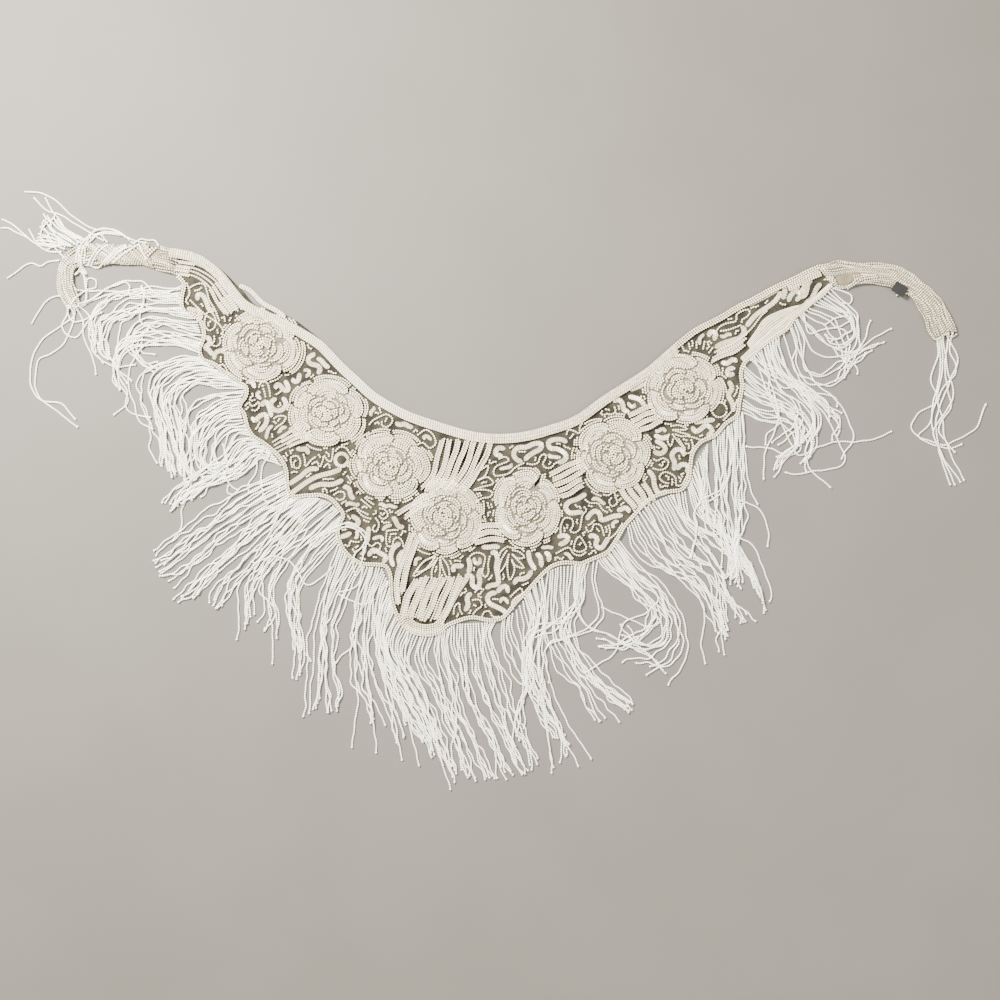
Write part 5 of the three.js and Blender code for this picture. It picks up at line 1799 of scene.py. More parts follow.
class RoseStitcher:
    """Builds the roses: overlapping petals of nested rows on a low pad, with a small oval spiral."""

    NOMINAL = 40.0
    SEED = 40
    STEP = 1.1
    # Spiral of the middle: radius at both ends, pitch, narrowness, turn, height and points
    CORE, CORE_END = 5.6, 1.2
    CORE_PITCH = 2.5
    OVAL = 0.75
    CORE_TURN = 2.0
    CORE_LIFT = 0.8
    CORE_POINTS = 120
    # Pad: sides, rings and reach as shares of its rim, then seat, edge, slope and wall
    PAD_SIDES = 60
    PAD_RINGS = (1.0, 0.97, 0.88, 0.76, 0.64, 0.52, 0.4, 0.28, 0.16, 0.06)
    PAD_MARGIN = 0.98
    PAD_SEAT = 0.1
    PAD_EDGE, PAD_SLOPE, PAD_DROP = 0.9, 0.1, 0.7
    PAD_WALL = 0.5
    # Least and largest reach of the rim and its step, as shares of the nominal size
    RIM_LEAST, RIM_LARGEST, RIM_STEP = 0.6, 1.2, 0.02
    # Gap between a row and the petal above it, with half a bead row or this share of a ribbon
    ROW_GAP = 1.1
    BEAD_HALF = 1.0
    RIBBON_HALF = 0.45
    # Ranges of chance: headings of outer and inner petals, seats inwards and outwards, angles and reaches
    OUTER_STRAY, INNER_STRAY = 0.14, 0.4
    INWARD, OUTWARD = 0.6, 0.4
    HALF_ANGLES = (0.9, 1.12)
    REACHES = (0.92, 1.04)
    LAYER_TURN = 2.3
    # Rows round a rose: distances from its rim, overlap with other petals and room that they need
    OUTLINES = (3.0, 5.6)
    OUTLINE_SEED = 12
    OUTLINE_OVERLAP = 0.4
    OUTLINE_ROOM = 1.0

    def __init__(self, embroidery: Embroidery, pad_finish: bpy.types.Material,
                 row_finishes: list[bpy.types.Material]) -> None:
        """Keep the rows' maker and the finishes.

        Args:
            embroidery: Maker of the rows.
            pad_finish: Finish of the pad.
            row_finishes: Finishes of the rows.
        """
        self.embroidery = embroidery
        self.pad_finish = pad_finish
        self.row_finishes = row_finishes
        self.outer: list[tuple[Rose, list[Petal]]] = []

    def build(self, rose: Rose, number: int) -> None:
        """Build one rose.

        Args:
            rose: Its place and size.
            number: Its number, from the left.
        """
        chance = random.Random(self.SEED + number)
        petals = self._petals(rose, chance)
        stock = Stock()
        for i, petal in enumerate(petals):
            for kind, inset in petal.rows():
                route = equal_steps(petal.row(inset, chance), self.STEP)
                hidden = np.zeros(len(route), bool)
                beads = kind in ROW_BEADS
                half = self.BEAD_HALF if beads else self.RIBBON_HALF * ROW_SEQUINS[kind].width
                for above in petals[i + 1:]:
                    hidden |= above.covers(route, self.ROW_GAP + half)
                for run in runs_of(route, ~hidden):
                    self.embroidery.row(stock, self._placed(rose, run), kind, petal.layer.lift)
        core = self._placed(rose, self._spiral(rose.turn))
        self.embroidery.row(stock, core, RowKind.BEADS, self.CORE_LIFT)
        stock.build(f"rose_rows_{number}", self.row_finishes, "sequins", f"rose_{number}")
        outer = [petal for petal in petals if petal.layer is PETAL_LAYERS[0]]
        self.outer.append((rose, outer))
        self._build_pad(rose, number, outer)

    def outline(self, stock: Stock, rows: "Embroidery") -> None:
        """Stitch bead rows round every rose where the net is still bare.

        Args:
            stock: Where the mesh is gathered.
            rows: Maker of rows on the net.
        """
        chance = random.Random(self.OUTLINE_SEED)
        for rose, petals in self.outer:
            for away in self.OUTLINES:
                for petal in petals:
                    route = equal_steps(petal.row(-away, chance), self.STEP)
                    hidden = np.zeros(len(route), bool)
                    for other in petals:
                        if other is not petal:
                            hidden |= other.covers(route, away - self.OUTLINE_OVERLAP)
                    placed = self._placed(rose, route)
                    shown = ~hidden & rows.cover.free_along(placed, self.OUTLINE_ROOM)
                    for run in runs_of(placed, shown):
                        rows.row(stock, run, RowKind.FINE_BEADS)

    def _petals(self, rose: Rose, chance: random.Random) -> list[Petal]:
        """Lay out the petals, outermost first.

        Args:
            rose: The rose.
            chance: Source of their small irregularities.

        Returns:
            The petals.
        """
        petals = []
        for layer in PETAL_LAYERS:
            start = rose.turn + self.LAYER_TURN * layer.reach
            stray = self.OUTER_STRAY if layer is PETAL_LAYERS[0] else self.INNER_STRAY
            order = list(range(layer.petals))
            chance.shuffle(order)
            for number in order:
                heading = start + math.tau * number / layer.petals + chance.uniform(-stray, stray)
                nearest, farthest = 1 - self.INWARD * stray, 1 + self.OUTWARD * stray
                seat = self.NOMINAL * layer.seat * chance.uniform(nearest, farthest)
                petals.append(Petal(
                    layer,
                    seat * np.array([math.cos(heading), math.sin(heading)]),
                    heading + chance.uniform(-stray, stray),
                    layer.half_angle * chance.uniform(*self.HALF_ANGLES),
                    self.NOMINAL * layer.reach * chance.uniform(*self.REACHES),
                    chance.choice(layer.patterns),
                ))
        return petals

    def _spiral(self, start: float) -> np.ndarray:
        """Draw the tight oval spiral of the middle.

        Args:
            start: Direction where it begins.

        Returns:
            The route about the rose's middle.
        """
        turns = (self.CORE - self.CORE_END) / self.CORE_PITCH
        angle = np.linspace(0, math.tau * turns, self.CORE_POINTS)
        radius = self.CORE - self.CORE_PITCH * angle / math.tau
        long, short = radius * np.cos(angle), self.OVAL * radius * np.sin(angle)
        turn = start * self.CORE_TURN
        return np.column_stack([
            long * math.cos(turn) - short * math.sin(turn),
            long * math.sin(turn) + short * math.cos(turn),
        ])

    def _placed(self, rose: Rose, route: np.ndarray) -> np.ndarray:
        """Stretch a route to the rose's size and move it from its middle to its place."""
        scale = np.array([rose.half_width, rose.half_height]) / self.NOMINAL
        return route * scale + np.array([rose.x, rose.y])

    def _rim(self, angles: np.ndarray, petals: list[Petal]) -> np.ndarray:
        """Find how far the pad reaches in each direction.

        Args:
            angles: The directions.
            petals: The outer petals.

        Returns:
            The reach in each direction.
        """
        ways = np.column_stack([np.cos(angles), np.sin(angles)])
        rim = np.full(len(angles), self.RIM_LEAST * self.NOMINAL)
        for reach in np.arange(self.RIM_LEAST, self.RIM_LARGEST, self.RIM_STEP) * self.NOMINAL:
            for petal in petals:
                rim[petal.covers(ways * reach, 0.0)] = reach
        return rim * self.PAD_MARGIN

    def _build_pad(self, rose: Rose, number: int, petals: list[Petal]) -> None:
        """Build the low pad that the rows are stitched to.

        Args:
            rose: The rose.
            number: Its number, from the left.
            petals: The outer petals.
        """
        bpy.ops.object.select_all(action="DESELECT")
        bpy.ops.mesh.primitive_circle_add(vertices=self.PAD_SIDES, radius=self.PAD_RINGS[0],
                                          fill_type="NOTHING", location=(0, 0, 0))
        pad = bpy.context.object
        bpy.ops.object.mode_set(mode="EDIT")
        bpy.ops.mesh.select_all(action="SELECT")
        for outer, inner in zip(self.PAD_RINGS, self.PAD_RINGS[1:]):
            bpy.ops.mesh.extrude_edges_move()
            bpy.ops.transform.resize(value=(inner / outer, inner / outer, 1.0))
        bpy.ops.mesh.edge_face_add()
        bpy.ops.mesh.select_all(action="SELECT")
        bpy.ops.mesh.normals_make_consistent(inside=False)
        bpy.ops.object.mode_set(mode="OBJECT")
        pad.name = pad.data.name = f"rose_pad_{number}"
        corners = np.array([tuple(vertex.co) for vertex in pad.data.vertices])
        share = np.hypot(corners[:, 0], corners[:, 1])
        angles = np.arctan2(corners[:, 1], corners[:, 0])
        reach = share * self._rim(angles, petals)
        flat = self._placed(rose, np.column_stack([reach * np.cos(angles), reach * np.sin(angles)]))
        drop = self.PAD_DROP * np.clip((share - self.PAD_EDGE) / self.PAD_SLOPE, 0, 1)
        height = self.embroidery.ground.height(flat) - self.PAD_SEAT - drop
        places = on_height(flat, height) * MM
        pad.data.vertices.foreach_set("co", places.astype(np.float32).ravel())
        pad.data.update()
        if pad.data.polygons[0].normal.z < 0:
            pad.data.flip_normals()
        thicken(pad, self.PAD_WALL)
        pad.data.polygons.foreach_set("use_smooth", np.ones(len(pad.data.polygons), bool))
        pad.data.materials.append(self.pad_finish)
        attach(pad, "sequins")
        log.info("rose_pad_%d: %d faces", number, len(pad.data.polygons))


class Pile:
    """Height of the strands that lie on each other, on a grid of one millimetre."""

    LEFT, NEAR = -560.0, -345.0
    COLUMNS, ROWS = 1120, 700
    # How little the pile packs as it rises, and the steps to the cells beside a place
    PACKING = 2.2
    BESIDE = ((0, 0), (1, 0), (-1, 0), (0, 1), (0, -1))

    def __init__(self, under: Relief, limit: float) -> None:
        """Start with what the strands lie on.

        Args:
            under: Height of the floor and the pieces on it.
            limit: Most that strands rise above what is under them, in millimetres.
        """
        x, y = np.meshgrid(self.LEFT + np.arange(self.COLUMNS), self.NEAR + np.arange(self.ROWS))
        places = np.column_stack([x.ravel(), y.ravel()])
        self.base = under.height(places).reshape(self.ROWS, self.COLUMNS)
        self.extra = np.zeros_like(self.base)
        self.limit = limit

    def lay(self, line: np.ndarray, radius: float) -> np.ndarray:
        """Lay a strand on what is there.

        Args:
            line: Its flat route.
            radius: Its radius.

        Returns:
            The strand's centre line.
        """
        i = np.clip(np.rint(line[:, 0] - self.LEFT).astype(int), 1, self.COLUMNS - 2)
        j = np.clip(np.rint(line[:, 1] - self.NEAR).astype(int), 1, self.ROWS - 2)
        under = self.base[j, i]
        extra = self.extra[j, i]
        settled = extra * (1 - extra / (self.PACKING * self.limit))
        seat = smoothed(under + settled, 3)
        seat = np.maximum(seat, smoothed(under, 1))
        height = smoothed(seat, 2) + radius
        top = np.maximum(height + 0.5 * radius - under, 0)
        top = np.minimum(top, self.limit)
        for di, dj in self.BESIDE:
            np.maximum.at(self.extra, (j + dj, i + di), top)
        return on_height(line, height)


class StrandMaker:
    """Strings beads along charted routes and lets them pile up."""

    STEP = 2.0
    TIP = 1.5
    # Room that a strand wants in a lock, and how much wider than its rails a lock may get
    ROOM = 3.1
    WIDEST = 2.4
    # Wavelengths of a strand, how much less the short ones swing, and its swing at the root
    WAVES = (95.0, 50.0, 29.0, 17.0)
    FALL = 0.72
    ROOT_SWAY, SWAY_GROWTH = 0.15, 2.0
    # Chances in a lock: drift with its power, turn and cut, then the range of the swing
    DRIFT, DRIFT_POWER = 0.2, 1.5
    TURN, CUT = 0.24, 0.035
    SWINGS = (0.8, 2.7)
    FEWEST_POINTS = 6

    def __init__(self, pile: Pile, beads: BeadSize) -> None:
        """Keep where the strands pile up and the size of their beads."""
        self.pile = pile
        self.beads = beads

    def strand(self, stock: Stock, line: np.ndarray) -> None:
        """Lay one strand with a larger bead at its tip."""
        route = equal_steps(line, self.beads.pitch / 2)
        add_beads(stock, self.pile.lay(route, self.beads.radius), self.beads, knob=self.TIP)

    def wobble(self, line: np.ndarray, chance: random.Random, swing: float) -> np.ndarray:
        """Let a strand wander sideways, more towards its tip.

        Args:
            line: Its flat route.
            chance: Source of its chances.
            swing: How far it wanders at the tip.

        Returns:
            The wandering route.
        """
        share = shares_of(line)
        length = gaps_of(line).sum()
        sway = np.zeros(len(line))
        for wave in self.WAVES:
            phase = chance.uniform(0, math.tau)
            sway += (wave / self.WAVES[0]) ** self.FALL * np.sin(math.tau * share * length / wave + phase)
        sway *= swing * np.clip(self.ROOT_SWAY + share * self.SWAY_GROWTH, 0.0, 1.0)
        ways = beside(line, 1.0) - line
        return line + sway[:, None] * ways

    def charted(self, stock: Stock, chart: Chart, chance: random.Random, swing: float) -> None:
        """Lay one strand along its chart, with a swing at its tip."""
        self.strand(stock, self.wobble(smooth_route(chart, self.STEP), chance, swing))

    def lock(self, stock: Stock, lock: Lock, chance: random.Random) -> None:
        """Lay the strands of one lock.

        Args:
            stock: Where the mesh is gathered.
            lock: Its rails and its number of strands.
            chance: Source of its chances.
        """
        order = list(range(lock.strands))
        chance.shuffle(order)
        left, right = rails_of(lock.left, lock.right)
        gap = np.maximum(np.linalg.norm(left - right, axis=1), 1.0)
        spots = np.linspace(0, 1, RAIL_STEPS)
        wanted = np.clip(self.ROOM * lock.strands / gap, 1.0, self.WIDEST)
        widened = 1 + (smoothed(wanted, 4) - 1) * np.clip(spots * 3, 0, 1)
        for i in order:
            seat = (i + 0.5) / lock.strands - 0.5
            drift = chance.gauss(0, self.DRIFT)
            turn = chance.gauss(0, self.TURN)
            bow = turn * np.sin(math.pi * spots) * spots
            share = 0.5 + widened * (seat + drift * spots**self.DRIFT_POWER + bow)
            line = between(lock.left, lock.right, share, self.STEP)
            keep = 1 - abs(chance.gauss(0, self.CUT))
            line = line[: max(int(len(line) * keep), self.FEWEST_POINTS)]
            self.strand(stock, self.wobble(line, chance, chance.uniform(*self.SWINGS)))


@dataclass
class Strap:
    """A padded tie strap covered with bead rows.

    The slanted part lies between two shares of the length. A bare patch is two shares along and two across.
    """

    STEP = 1.5
    # Core: both edges as shares of the width, least height, depth under the rows, and heights at the edges
    EDGES = (0.03, 0.97)
    LEAST_TOP, ROW_DEPTH = 1.0, 0.6
    EDGE_SHARE, CROWN_SHARE = 0.35, 0.65
    BACK, BACK_RISE = 0.15, 0.5
    # Rows: stray across the strap, ripple and how often it waves, points and shortest stretch
    STRAY = 0.16
    RIPPLE, RIPPLES = 0.35, (14, 40)
    POINTS = 120
    SHORTEST = 0.02
    # Slanted rows, in shares of the length: start before the slanted part, slant, steps and points
    SLANT_START = 0.09
    SLANTS = (0.06, 0.1)
    SLANT_STEPS = (0.007, 0.018)
    SLANT_POINTS = 40
    # One row: ranges of its rise and thickness, limits across the strap and in height, sway, and painted
    # light, which gives lower rows painted shade
    RISES = (-0.75, 0.3)
    FATS = (0.82, 1.08)
    ACROSS = (0.015, 0.985)
    TOPS = (1.6, 6.2)
    SWAY, SWAY_POINTS, SWAY_PHASE = 0.2, 6, 9
    SHINE, SHINE_RISE = 0.88, 0.35

    name: str
    outer: Chart
    inner: Chart
    rows: int
    slanted: tuple[float, float] = (0.0, 0.0)
    bare: tuple[tuple[float, float, float, float], ...] = ()
    core_sides: int = 12
    core_step: float = 5.0

    def place(self, along: np.ndarray, across: np.ndarray) -> np.ndarray:
        """Find places on the strap.

        Args:
            along: Share of its length.
            across: Share of its width, from the outer edge.

        Returns:
            The flat places.
        """
        lines = (smooth_route(chart, self.STEP) for chart in (self.outer, self.inner))
        outer, inner = (sampled(line, shares_of(line), along) for line in lines)
        across = across[:, None]
        return outer * (1 - across) + inner * across

    def build_core(self, top: Relief, finish: bpy.types.Material) -> bpy.types.Object:
        """Build the padded core.

        Args:
            top: Height of the strap.
            finish: Finish of the cloth.

        Returns:
            The core.
        """
        steps = int(gaps_of(smooth_route(self.outer, self.STEP)).sum() / self.core_step)
        half = self.core_sides // 2
        across = np.concatenate([np.linspace(*self.EDGES, half), np.linspace(*self.EDGES[::-1], half)])
        front = self.EDGE_SHARE + self.CROWN_SHARE * crown_of(across[:half])
        back = self.BACK + self.BACK_RISE * (1 - crown_of(across[half:]))
        rings = np.zeros((steps, self.core_sides, 3))
        for i, share in enumerate(np.linspace(0.0, 1.0, steps)):
            flat = self.place(np.full(self.core_sides, share), across)
            height = np.maximum(top.height(flat[:half]), self.LEAST_TOP) - self.ROW_DEPTH
            rings[i, :half] = on_height(flat[:half], height * front)
            rings[i, half:] = on_height(flat[half:], back)
        corner, onward = rings[0, 0], rings[1, 0] - rings[0, 0]
        if np.cross(rings[0, 3] - corner, rings[0, -1] - corner) @ onward < 0:
            rings = rings[:, ::-1]
        stock = Stock()
        stock.add_rings(rings)
        core = stock.build(f"{self.name}_core", [finish], "strap_beads", self.name)
        return core

    def build_rows(self, top: Relief, finish: bpy.types.Material) -> bpy.types.Object:
        """Cover the strap with bead rows.

        Args:
            top: Height of the strap.
            finish: Finish of the beads.

        Returns:
            The rows.
        """
        stock = Stock()
        chance = random.Random(self.rows)
        low, high = self.slanted
        for i in range(self.rows):
            across = (i + 0.5 + chance.uniform(-self.STRAY, self.STRAY)) / self.rows
            for start, end in ((0.0, low), (high, 1.0)):
                if end - start > self.SHORTEST:
                    along = np.linspace(start, end, self.POINTS)
                    ripple = self.RIPPLE / self.rows * np.sin(along * chance.uniform(*self.RIPPLES) + i)
                    self._row(stock, along, across + ripple, top, chance)
        start = low - self.SLANT_START
        across = np.linspace(1.0, 0.0, self.SLANT_POINTS)
        while high > low and start < high:
            along = start + chance.uniform(*self.SLANTS) * (1 - across)
            keep = (along > low) & (along < high)
            if keep.sum() > SHORTEST_RUN:
                self._row(stock, along[keep], across[keep], top, chance)
            start += chance.uniform(*self.SLANT_STEPS)
        return stock.build(f"{self.name}_beads", [finish], "strap_beads")

    def _row(self, stock: Stock, along: np.ndarray, across: np.ndarray, top: Relief,
             chance: random.Random) -> None:
        """Lay one bead row on the strap, a little higher or lower than the next.

        Args:
            stock: Where its mesh is gathered.
            along: Share of the strap's length at each point.
            across: Share of its width at each point.
            top: Height of the strap.
            chance: Source of its chances.
        """
        shown = np.ones(len(along), bool)
        for near, far, left, right in self.bare:
            shown &= ~((along > near) & (along < far) & (across > left) & (across < right))
        rise = chance.uniform(*self.RISES)
        fat = chance.uniform(*self.FATS)
        # Painted shade on rows that lie lower, down in the creases between rows
        row_light = self.SHINE + self.SHINE_RISE * rise
        for run in runs_of(np.column_stack([along, np.clip(across, *self.ACROSS)]), shown):
            route = equal_steps(self.place(run[:, 0], run[:, 1]), STRAP_BEADS.pitch / 2)
            crown = smoothed(np.clip(top.height(route), *self.TOPS), 2)
            sway = self.SWAY * np.sin(np.arange(len(route)) / self.SWAY_POINTS + self.SWAY_PHASE * rise)
            add_beads(stock, on_height(route, crown + rise + sway), STRAP_BEADS, fat, row_light=row_light)


class BandPart(Enum):
    """A part of the neckline band, as the x at its left and right ends in millimetres."""

    WIDE = (-math.inf, 202.0)
    SLIM = (198.0, math.inf)
    FRAYED = (322.0, math.inf)


# Rows of the band: part, distance from the neck edge, kind and height
BAND_ROWS = (
    (BandPart.WIDE, 1.7, RowKind.RIB, 1.3),
    (BandPart.WIDE, 5.4, RowKind.RIB, 1.3),
    (BandPart.WIDE, 9.1, RowKind.RIB, 1.1),
    (BandPart.WIDE, 3.55, RowKind.SEAM, 2.2),
    (BandPart.WIDE, 7.25, RowKind.SEAM, 2.2),
    (BandPart.SLIM, 1.2, RowKind.BEADS, 1.4),
    (BandPart.SLIM, 3.5, RowKind.BEADS, 1.5),
    (BandPart.SLIM, 5.8, RowKind.BEADS, 1.3),
    (BandPart.FRAYED, 7.9, RowKind.FINE_BEADS, 1.3),
    (BandPart.FRAYED, 9.9, RowKind.FINE_BEADS, 1.2),
    (BandPart.FRAYED, 11.9, RowKind.FINE_BEADS, 1.0),
)
# Rows of the hem: distance from the edge and height, then those of its lowest scallop, with the corner
# below which its points lie in x and y
HEM_ROWS = ((1.0, 1.0), (3.3, 0.8))
LOWEST_ROWS = (5.5, 7.8, 10.1, 12.4)
LOWEST_LIFT = 0.4
LOWEST_CORNER = (-46, -138)

# Curls that fill the bare net, in the order in which they grow
CURLS = (
    (RowKind.SEQUINS, Curl(reach=3.2, longest=60, shortest=19, wave=34, swing=1.6)),
    (RowKind.SLIM_SEQUINS, Curl(reach=2.6, longest=40, shortest=14, wave=26, swing=1.6)),
    (RowKind.FINE_BEADS, Curl(reach=1.7, longest=60, shortest=8, wave=18, swing=1.9)),
)


class Studio:
    """Camera, lights and floor."""

    EYE = (0.011, -0.011, 1.528)
    LENS, SENSOR = 50.0, 36.0
    FLOOR = 6.0
    AIR = (0.87, 0.845, 0.775, 1.0)
    AIR_STRENGTH = 1.4
    LAMP = (1.0, 0.965, 0.86)

    def build(self) -> None:
        """Set up the camera, the lights and the floor."""
        self._camera()
        self._floor()
        self._light("window", (-0.95, 0.85, 1.35), size=0.6, power=240.0)
        self._light("fill", (1.1, -0.6, 1.7), size=1.6, power=50.0)
        world = bpy.data.worlds.new("studio")
        world.use_nodes = True
        back = world.node_tree.nodes["Background"]
        back.inputs["Color"].default_value = self.AIR
        back.inputs["Strength"].default_value = self.AIR_STRENGTH
        bpy.context.scene.world = world

    def _camera(self) -> None:
        """Look straight down, as the photo does."""
        data = bpy.data.cameras.new("camera")
        data.lens = self.LENS
        data.sensor_width = self.SENSOR
        camera = placed_in_scene("camera", data)
        camera.location = self.EYE
        bpy.context.scene.camera = camera

    def _floor(self) -> None:
        """Lay the plain floor."""
        bpy.ops.object.select_all(action="DESELECT")
        bpy.ops.mesh.primitive_plane_add(size=self.FLOOR, location=(0, 0, 0))
        floor = bpy.context.object
        floor.name = "floor"
        floor.data.materials.append(FloorFinish().build())

    def _light(self, name: str, place: tuple[float, float, float], size: float, power: float) -> None:
        """Add a soft light that faces the middle of the collar.

        Args:
            name: Name of the light.
            place: Its place.
            size: Width of its face.
            power: Its power in watts.
        """
        data = bpy.data.lights.new(name, "AREA")
        data.shape = "DISK"
        data.size = size
        data.energy = power
        data.color = self.LAMP
        light = placed_in_scene(name, data)
        light.location = place
        light.rotation_euler = (-Vector(place)).to_track_quat("-Z", "Y").to_euler()


class Collar:
    """The whole collar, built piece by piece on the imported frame."""

    NET_TOP = 1.1
    # Steps of the borders' and squiggles' routes
    BORDER_STEP, RIBBON_STEP, BEAD_STEP = 1.5, 1.2, 1.0
    # Gap over which the band's left part is joined to the rest, and how many of its points make one step
    BAND_GAP, BAND_EVERY = 12, 8
    # Flap: shares across it, what it covers, heights of its faces and lines, and the outermost lines
    FLAP_ACROSS = np.array([0.0, 0.12, 0.35, 0.65, 0.88, 1.0])
    FLAP_REACH, FLAP_STEP = 2.5, 2.0
    FLAP_TOP, FLAP_UNDERSIDE, FLAP_LINE = 0.25, 0.05, 0.3
    FLAP_LINES = (0.06, 0.94)
    RING_POINTS, RING_LIFT = 40, 0.2
    TRIM_LEAST_HEIGHT = 1.2
    PILE_LIMIT = 5.0
    STRAY_SWING = 0.8
    FILL_SEED, FRINGE_SEED = 7, 100

    def __init__(self, nodes: dict[str, bpy.types.Object]) -> None:
        """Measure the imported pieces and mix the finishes.

        Args:
            nodes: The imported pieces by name.
        """
        self.nodes = nodes
        net = ["net_ground"]
        roses = [f"rose_{number + 1}" for number in range(len(ROSES))]
        bundles = [f"stem_bundle_{number + 1}" for number in range(len(STEM_BUNDLES))]
        raised = net + roses + bundles
        straps = ["strap_left", "strap_right"]
        self.net_top = Relief(nodes, net, self.NET_TOP).soften(3)
        self.work_top = Relief(nodes, raised, self.NET_TOP).soften(2)
        self.strap_top = Relief(nodes, straps, 0.0)
        self.all_top = Relief(nodes, raised + straps + ["hem_edging", "neckline_band"], 0.0)
        self.ivory = BeadFinish("ivory_beads").build()
        # The fourth colour of each bead finish is the painted shade in the seams between its beads
        self.strands = BeadFinish(
            "fringe_beads", srgb(252, 250, 243), srgb(238, 234, 222), srgb(246, 240, 226),
            srgb(180, 173, 156), drift=0.0, roughness=0.26, coat=0.6,
        ).build()
        self.cream = BeadFinish(
            "cream_strap_beads", srgb(250, 242, 220), srgb(166, 155, 130), srgb(216, 204, 176),
            srgb(70, 64, 50), drift=0.2, roughness=0.36, coat=0.3,
        ).build()
        self.pearl = SequinFinish().build()
        self.row_finishes = [self.ivory, self.pearl]
        self.cloth = ClothFinish("padding_cloth").build()
        self.sheet = NetSheet()
        self.cover = Cover(self.sheet.outline)
        pad = ClothFinish("rose_pad_cloth", srgb(120, 111, 96), srgb(84, 77, 64), 0.9).build()
        self.stitcher = RoseStitcher(Embroidery(self.work_top, self.cover), pad, self.row_finishes)

    def build(self) -> None:
        """Build every piece in order."""
        self.build_net()
        self.build_roses()
        self.build_borders()
        self.build_bundles()
        self.build_folds()
        self.build_squiggles()
        self.build_straps()
        self.build_fringe()

    def build_net(self) -> None:
        """Lay the net."""
        net = self.sheet.build(self.net_top, NetFinish())
        self.sheet.flat_size()
        self.sheet.area()

    def build_roses(self) -> None:
        """Stitch the seven roses."""
        for number, rose in enumerate(ROSES, start=1):
            self.stitcher.build(rose, number)

    def build_borders(self) -> None:
        """Stitch the rows along the neck edge and the hem."""
        rows = Embroidery(self.net_top, self.cover)
        left, later = (smooth_route(chart, self.BORDER_STEP) for chart in (BAND_LEFT, NECK))
        joined = np.concatenate([left, later[later[:, 0] > left[-1, 0] + self.BAND_GAP]])
        neck = smooth_route(joined[::self.BAND_EVERY], self.BORDER_STEP)
        stock = Stock()
        for part, inset, kind, lift in BAND_ROWS:
            near, far = part.value
            line = neck[(neck[:, 0] > near) & (neck[:, 0] < far)]
            rows.row(stock, beside(line, -inset), kind, lift)
        stock.build("neckline_beads", self.row_finishes, "seed_beads", "neckline_band")
        hem = smooth_route(HEM, self.BORDER_STEP)
        stock = Stock()
        for inset, lift in HEM_ROWS:
            rows.row(stock, beside(hem, inset), RowKind.BEADS, lift)
        lowest = hem[(hem < LOWEST_CORNER).all(1)]
        for inset in LOWEST_ROWS:
            rows.row(stock, beside(lowest, inset), RowKind.FINE_BEADS, LOWEST_LIFT)
        stock.build("hem_beads", self.row_finishes, "seed_beads", "hem_edging")

    def build_bundles(self) -> None:
        """Stitch the stem bundles and the ribbons of the folded ends."""
        rows = Embroidery(self.work_top, self.cover)
        for number, bundle in enumerate(STEM_BUNDLES, start=1):
            stock = Stock()
            rows.bundle(stock, bundle)
            stock.build(f"stem_rows_{number}", self.row_finishes, "seed_beads", f"stem_bundle_{number}")
        stock = Stock()
        for bundle in LOOSE_BUNDLES:
            rows.bundle(stock, bundle)
        stock.build("ribbon_fans", self.row_finishes, "sequins")

    def build_folds(self) -> None:
        """Lay the smooth flaps where the net's right end is folded over."""
        cloth = FoldFinish().build()
        flaps, lines = Stock(), Stock()
        crown = crown_of(self.FLAP_ACROSS)
        area = longest = 0.0
        for fold in FOLDS:
            rails = [between(fold.left, fold.right, share, self.FLAP_STEP) for share in self.FLAP_ACROSS]
            rings = []
            for step in np.linspace(0.0, 1.0, RAIL_STEPS):
                spots = np.array([rail[int(step * (len(rail) - 1))] for rail in rails])
                self.cover.mark(spots, self.FLAP_REACH)
                under = self.net_top.height(spots)
                upper = on_height(spots, under + self.FLAP_TOP + fold.rise * crown)
                lower = on_height(spots[::-1], under[::-1] + self.FLAP_UNDERSIDE)
                rings.append(np.concatenate([upper, lower]))
            flaps.add_rings(np.array(rings))
            upper_side = np.array(rings)[:, :len(crown)]
            widths = np.linalg.norm(np.diff(upper_side, axis=1), axis=2).sum(1)
            lengths = np.linalg.norm(np.diff(upper_side, axis=0), axis=2).sum(0)
            length = float(lengths.mean()) * MM
            area += float(widths.mean()) * MM * length
            longest = max(longest, length)
            for share in np.linspace(*self.FLAP_LINES, fold.lines):
                route = between(fold.left, fold.right, share, self.FLAP_STEP)
                route = equal_steps(route, FOLD_THREAD.pitch / 2)
                height = self.net_top.height(route) + self.FLAP_LINE + fold.rise * crown_of(share)
                add_beads(lines, on_height(route, smoothed(height, 1)), FOLD_THREAD)
        net_folds = flaps.build("net_folds", [cloth], "net")
        lines.build("fold_lines", [self.ivory], "net")

    def build_squiggles(self) -> None:
        """Stitch the charted squiggles and leaf sprays, and fill the bare net between them."""
        rows = Embroidery(self.net_top, self.cover)
        ribbons, beads = Stock(), Stock()
        for chart in RIBBON_SQUIGGLES:
            rows.row(ribbons, smooth_route(chart, self.RIBBON_STEP), RowKind.SEQUINS)
        for chart in BEAD_SQUIGGLES:
            rows.row(beads, smooth_route(chart, self.BEAD_STEP), RowKind.FINE_BEADS)
        for x, y, radius, kind in RINGS:
            angle = np.linspace(0, math.tau, self.RING_POINTS)
            ring = np.column_stack([x + radius * np.cos(angle), y + radius * np.sin(angle)])
            rows.row(ribbons, ring, kind, self.RING_LIFT)
            self.cover.mark(np.array([[x, y]], float), radius)
        self.stitcher.outline(beads, rows)
        self._fill(rows, ribbons, beads)
        ribbons.build("sequin_squiggles", self.row_finishes, "sequins")
        beads.build("bead_squiggles", self.row_finishes, "seed_beads")

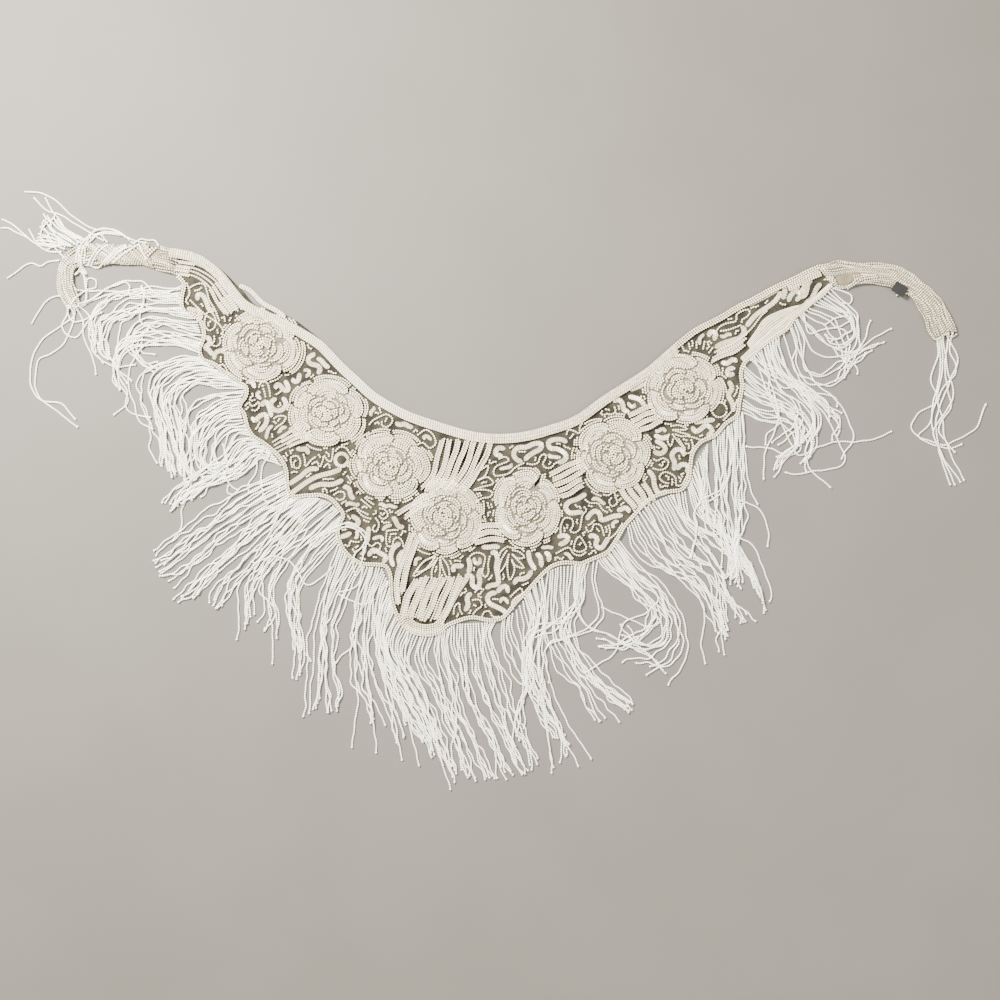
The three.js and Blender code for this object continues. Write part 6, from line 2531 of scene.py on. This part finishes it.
    def _fill(self, rows: Embroidery, ribbons: Stock, beads: Stock) -> None:
        """Fill bare net with curls that keep clear of each other.

        Args:
            rows: Maker of the rows.
            ribbons: Where the ribbons' mesh is gathered.
            beads: Where the bead rows' mesh is gathered.
        """
        chance = random.Random(self.FILL_SEED)
        for kind, curl in CURLS:
            stock = beads if kind in ROW_BEADS else ribbons
            spots = list(self.cover.free_spots())
            chance.shuffle(spots)
            for spot in spots:
                if self.cover.is_free(spot[None], curl.reach):
                    line = curl.grow(spot, self.cover, chance)
                    if len(line) * Curl.STEP > curl.shortest:
                        rows.row(stock, line, kind)

    def build_straps(self) -> None:
        """Build both straps and give the tab its finish."""
        left = Strap("strap_left", LEFT_STRAP_OUTER, LEFT_STRAP_INNER, rows=12, slanted=(0.17, 0.53),
                     bare=((0.1, 0.155, 0.0, 0.45),))
        right = Strap("strap_right", RIGHT_STRAP_OUTER, RIGHT_STRAP_INNER, rows=14,
                      bare=((0.06, 0.17, 0.52, 0.9), (0.08, 0.33, 0.49, 0.55)))
        for strap in (left, right):
            strap.build_core(self.strap_top, self.cloth)
            strap.build_rows(self.strap_top, self.cream)
        stock = Stock()
        for charts, size, lift in (
            (STRAP_BEAD_ROWS, LARGE_BEADS, 0.6),
            (STRAP_FOLD_ROWS, STRAP_BEADS, 0.9),
        ):
            for chart in charts:
                route = equal_steps(smooth_route(chart, self.BEAD_STEP), size.pitch / 2)
                crown = smoothed(self.strap_top.height(route), 2)
                add_beads(stock, on_height(route, np.maximum(crown, self.TRIM_LEAST_HEIGHT) + lift), size)
        stock.build("strap_trim", [self.cream], "strap_beads")
        tape = ClothFinish("tab_tape", srgb(16, 16, 17), srgb(8, 8, 9), 0.7, 0.0).build()
        self.nodes["label_tab"].data.materials.clear()
        self.nodes["label_tab"].data.materials.append(tape)

    def build_fringe(self) -> None:
        """Lay the fringe, the tassels and the wrapped strands."""
        maker = StrandMaker(Pile(self.all_top, self.PILE_LIMIT), FRINGE_BEADS)
        for group, strays in STRAYS.items():
            chance = random.Random(self.FRINGE_SEED + group)
            stock = Stock()
            for lock in LOCKS:
                if lock.group == group:
                    maker.lock(stock, lock, chance)
            for chart in strays:
                maker.charted(stock, chart, chance, self.STRAY_SWING)
            stock.build(f"fringe_strands_{group}", [self.strands], "fringe_beads", f"fringe_{group}")
        for name, charts, swing in (
            ("tassel_left", TASSEL_LEFT, 0.5),
            ("tassel_right", TASSEL_RIGHT, 0.6),
            ("wrapped_strands", WRAPPED, 0.3),
        ):
            chance = random.Random(len(name))
            stock = Stock()
            for chart in charts:
                maker.charted(stock, chart, chance, swing)
            stock.build(f"{name}_beads", [self.strands], "fringe_beads", name)


def main() -> None:
    """Build the studio and the collar."""
    Studio().build()
    Collar(frame["nodes"]).build()


if __name__ == "__main__":
    main()
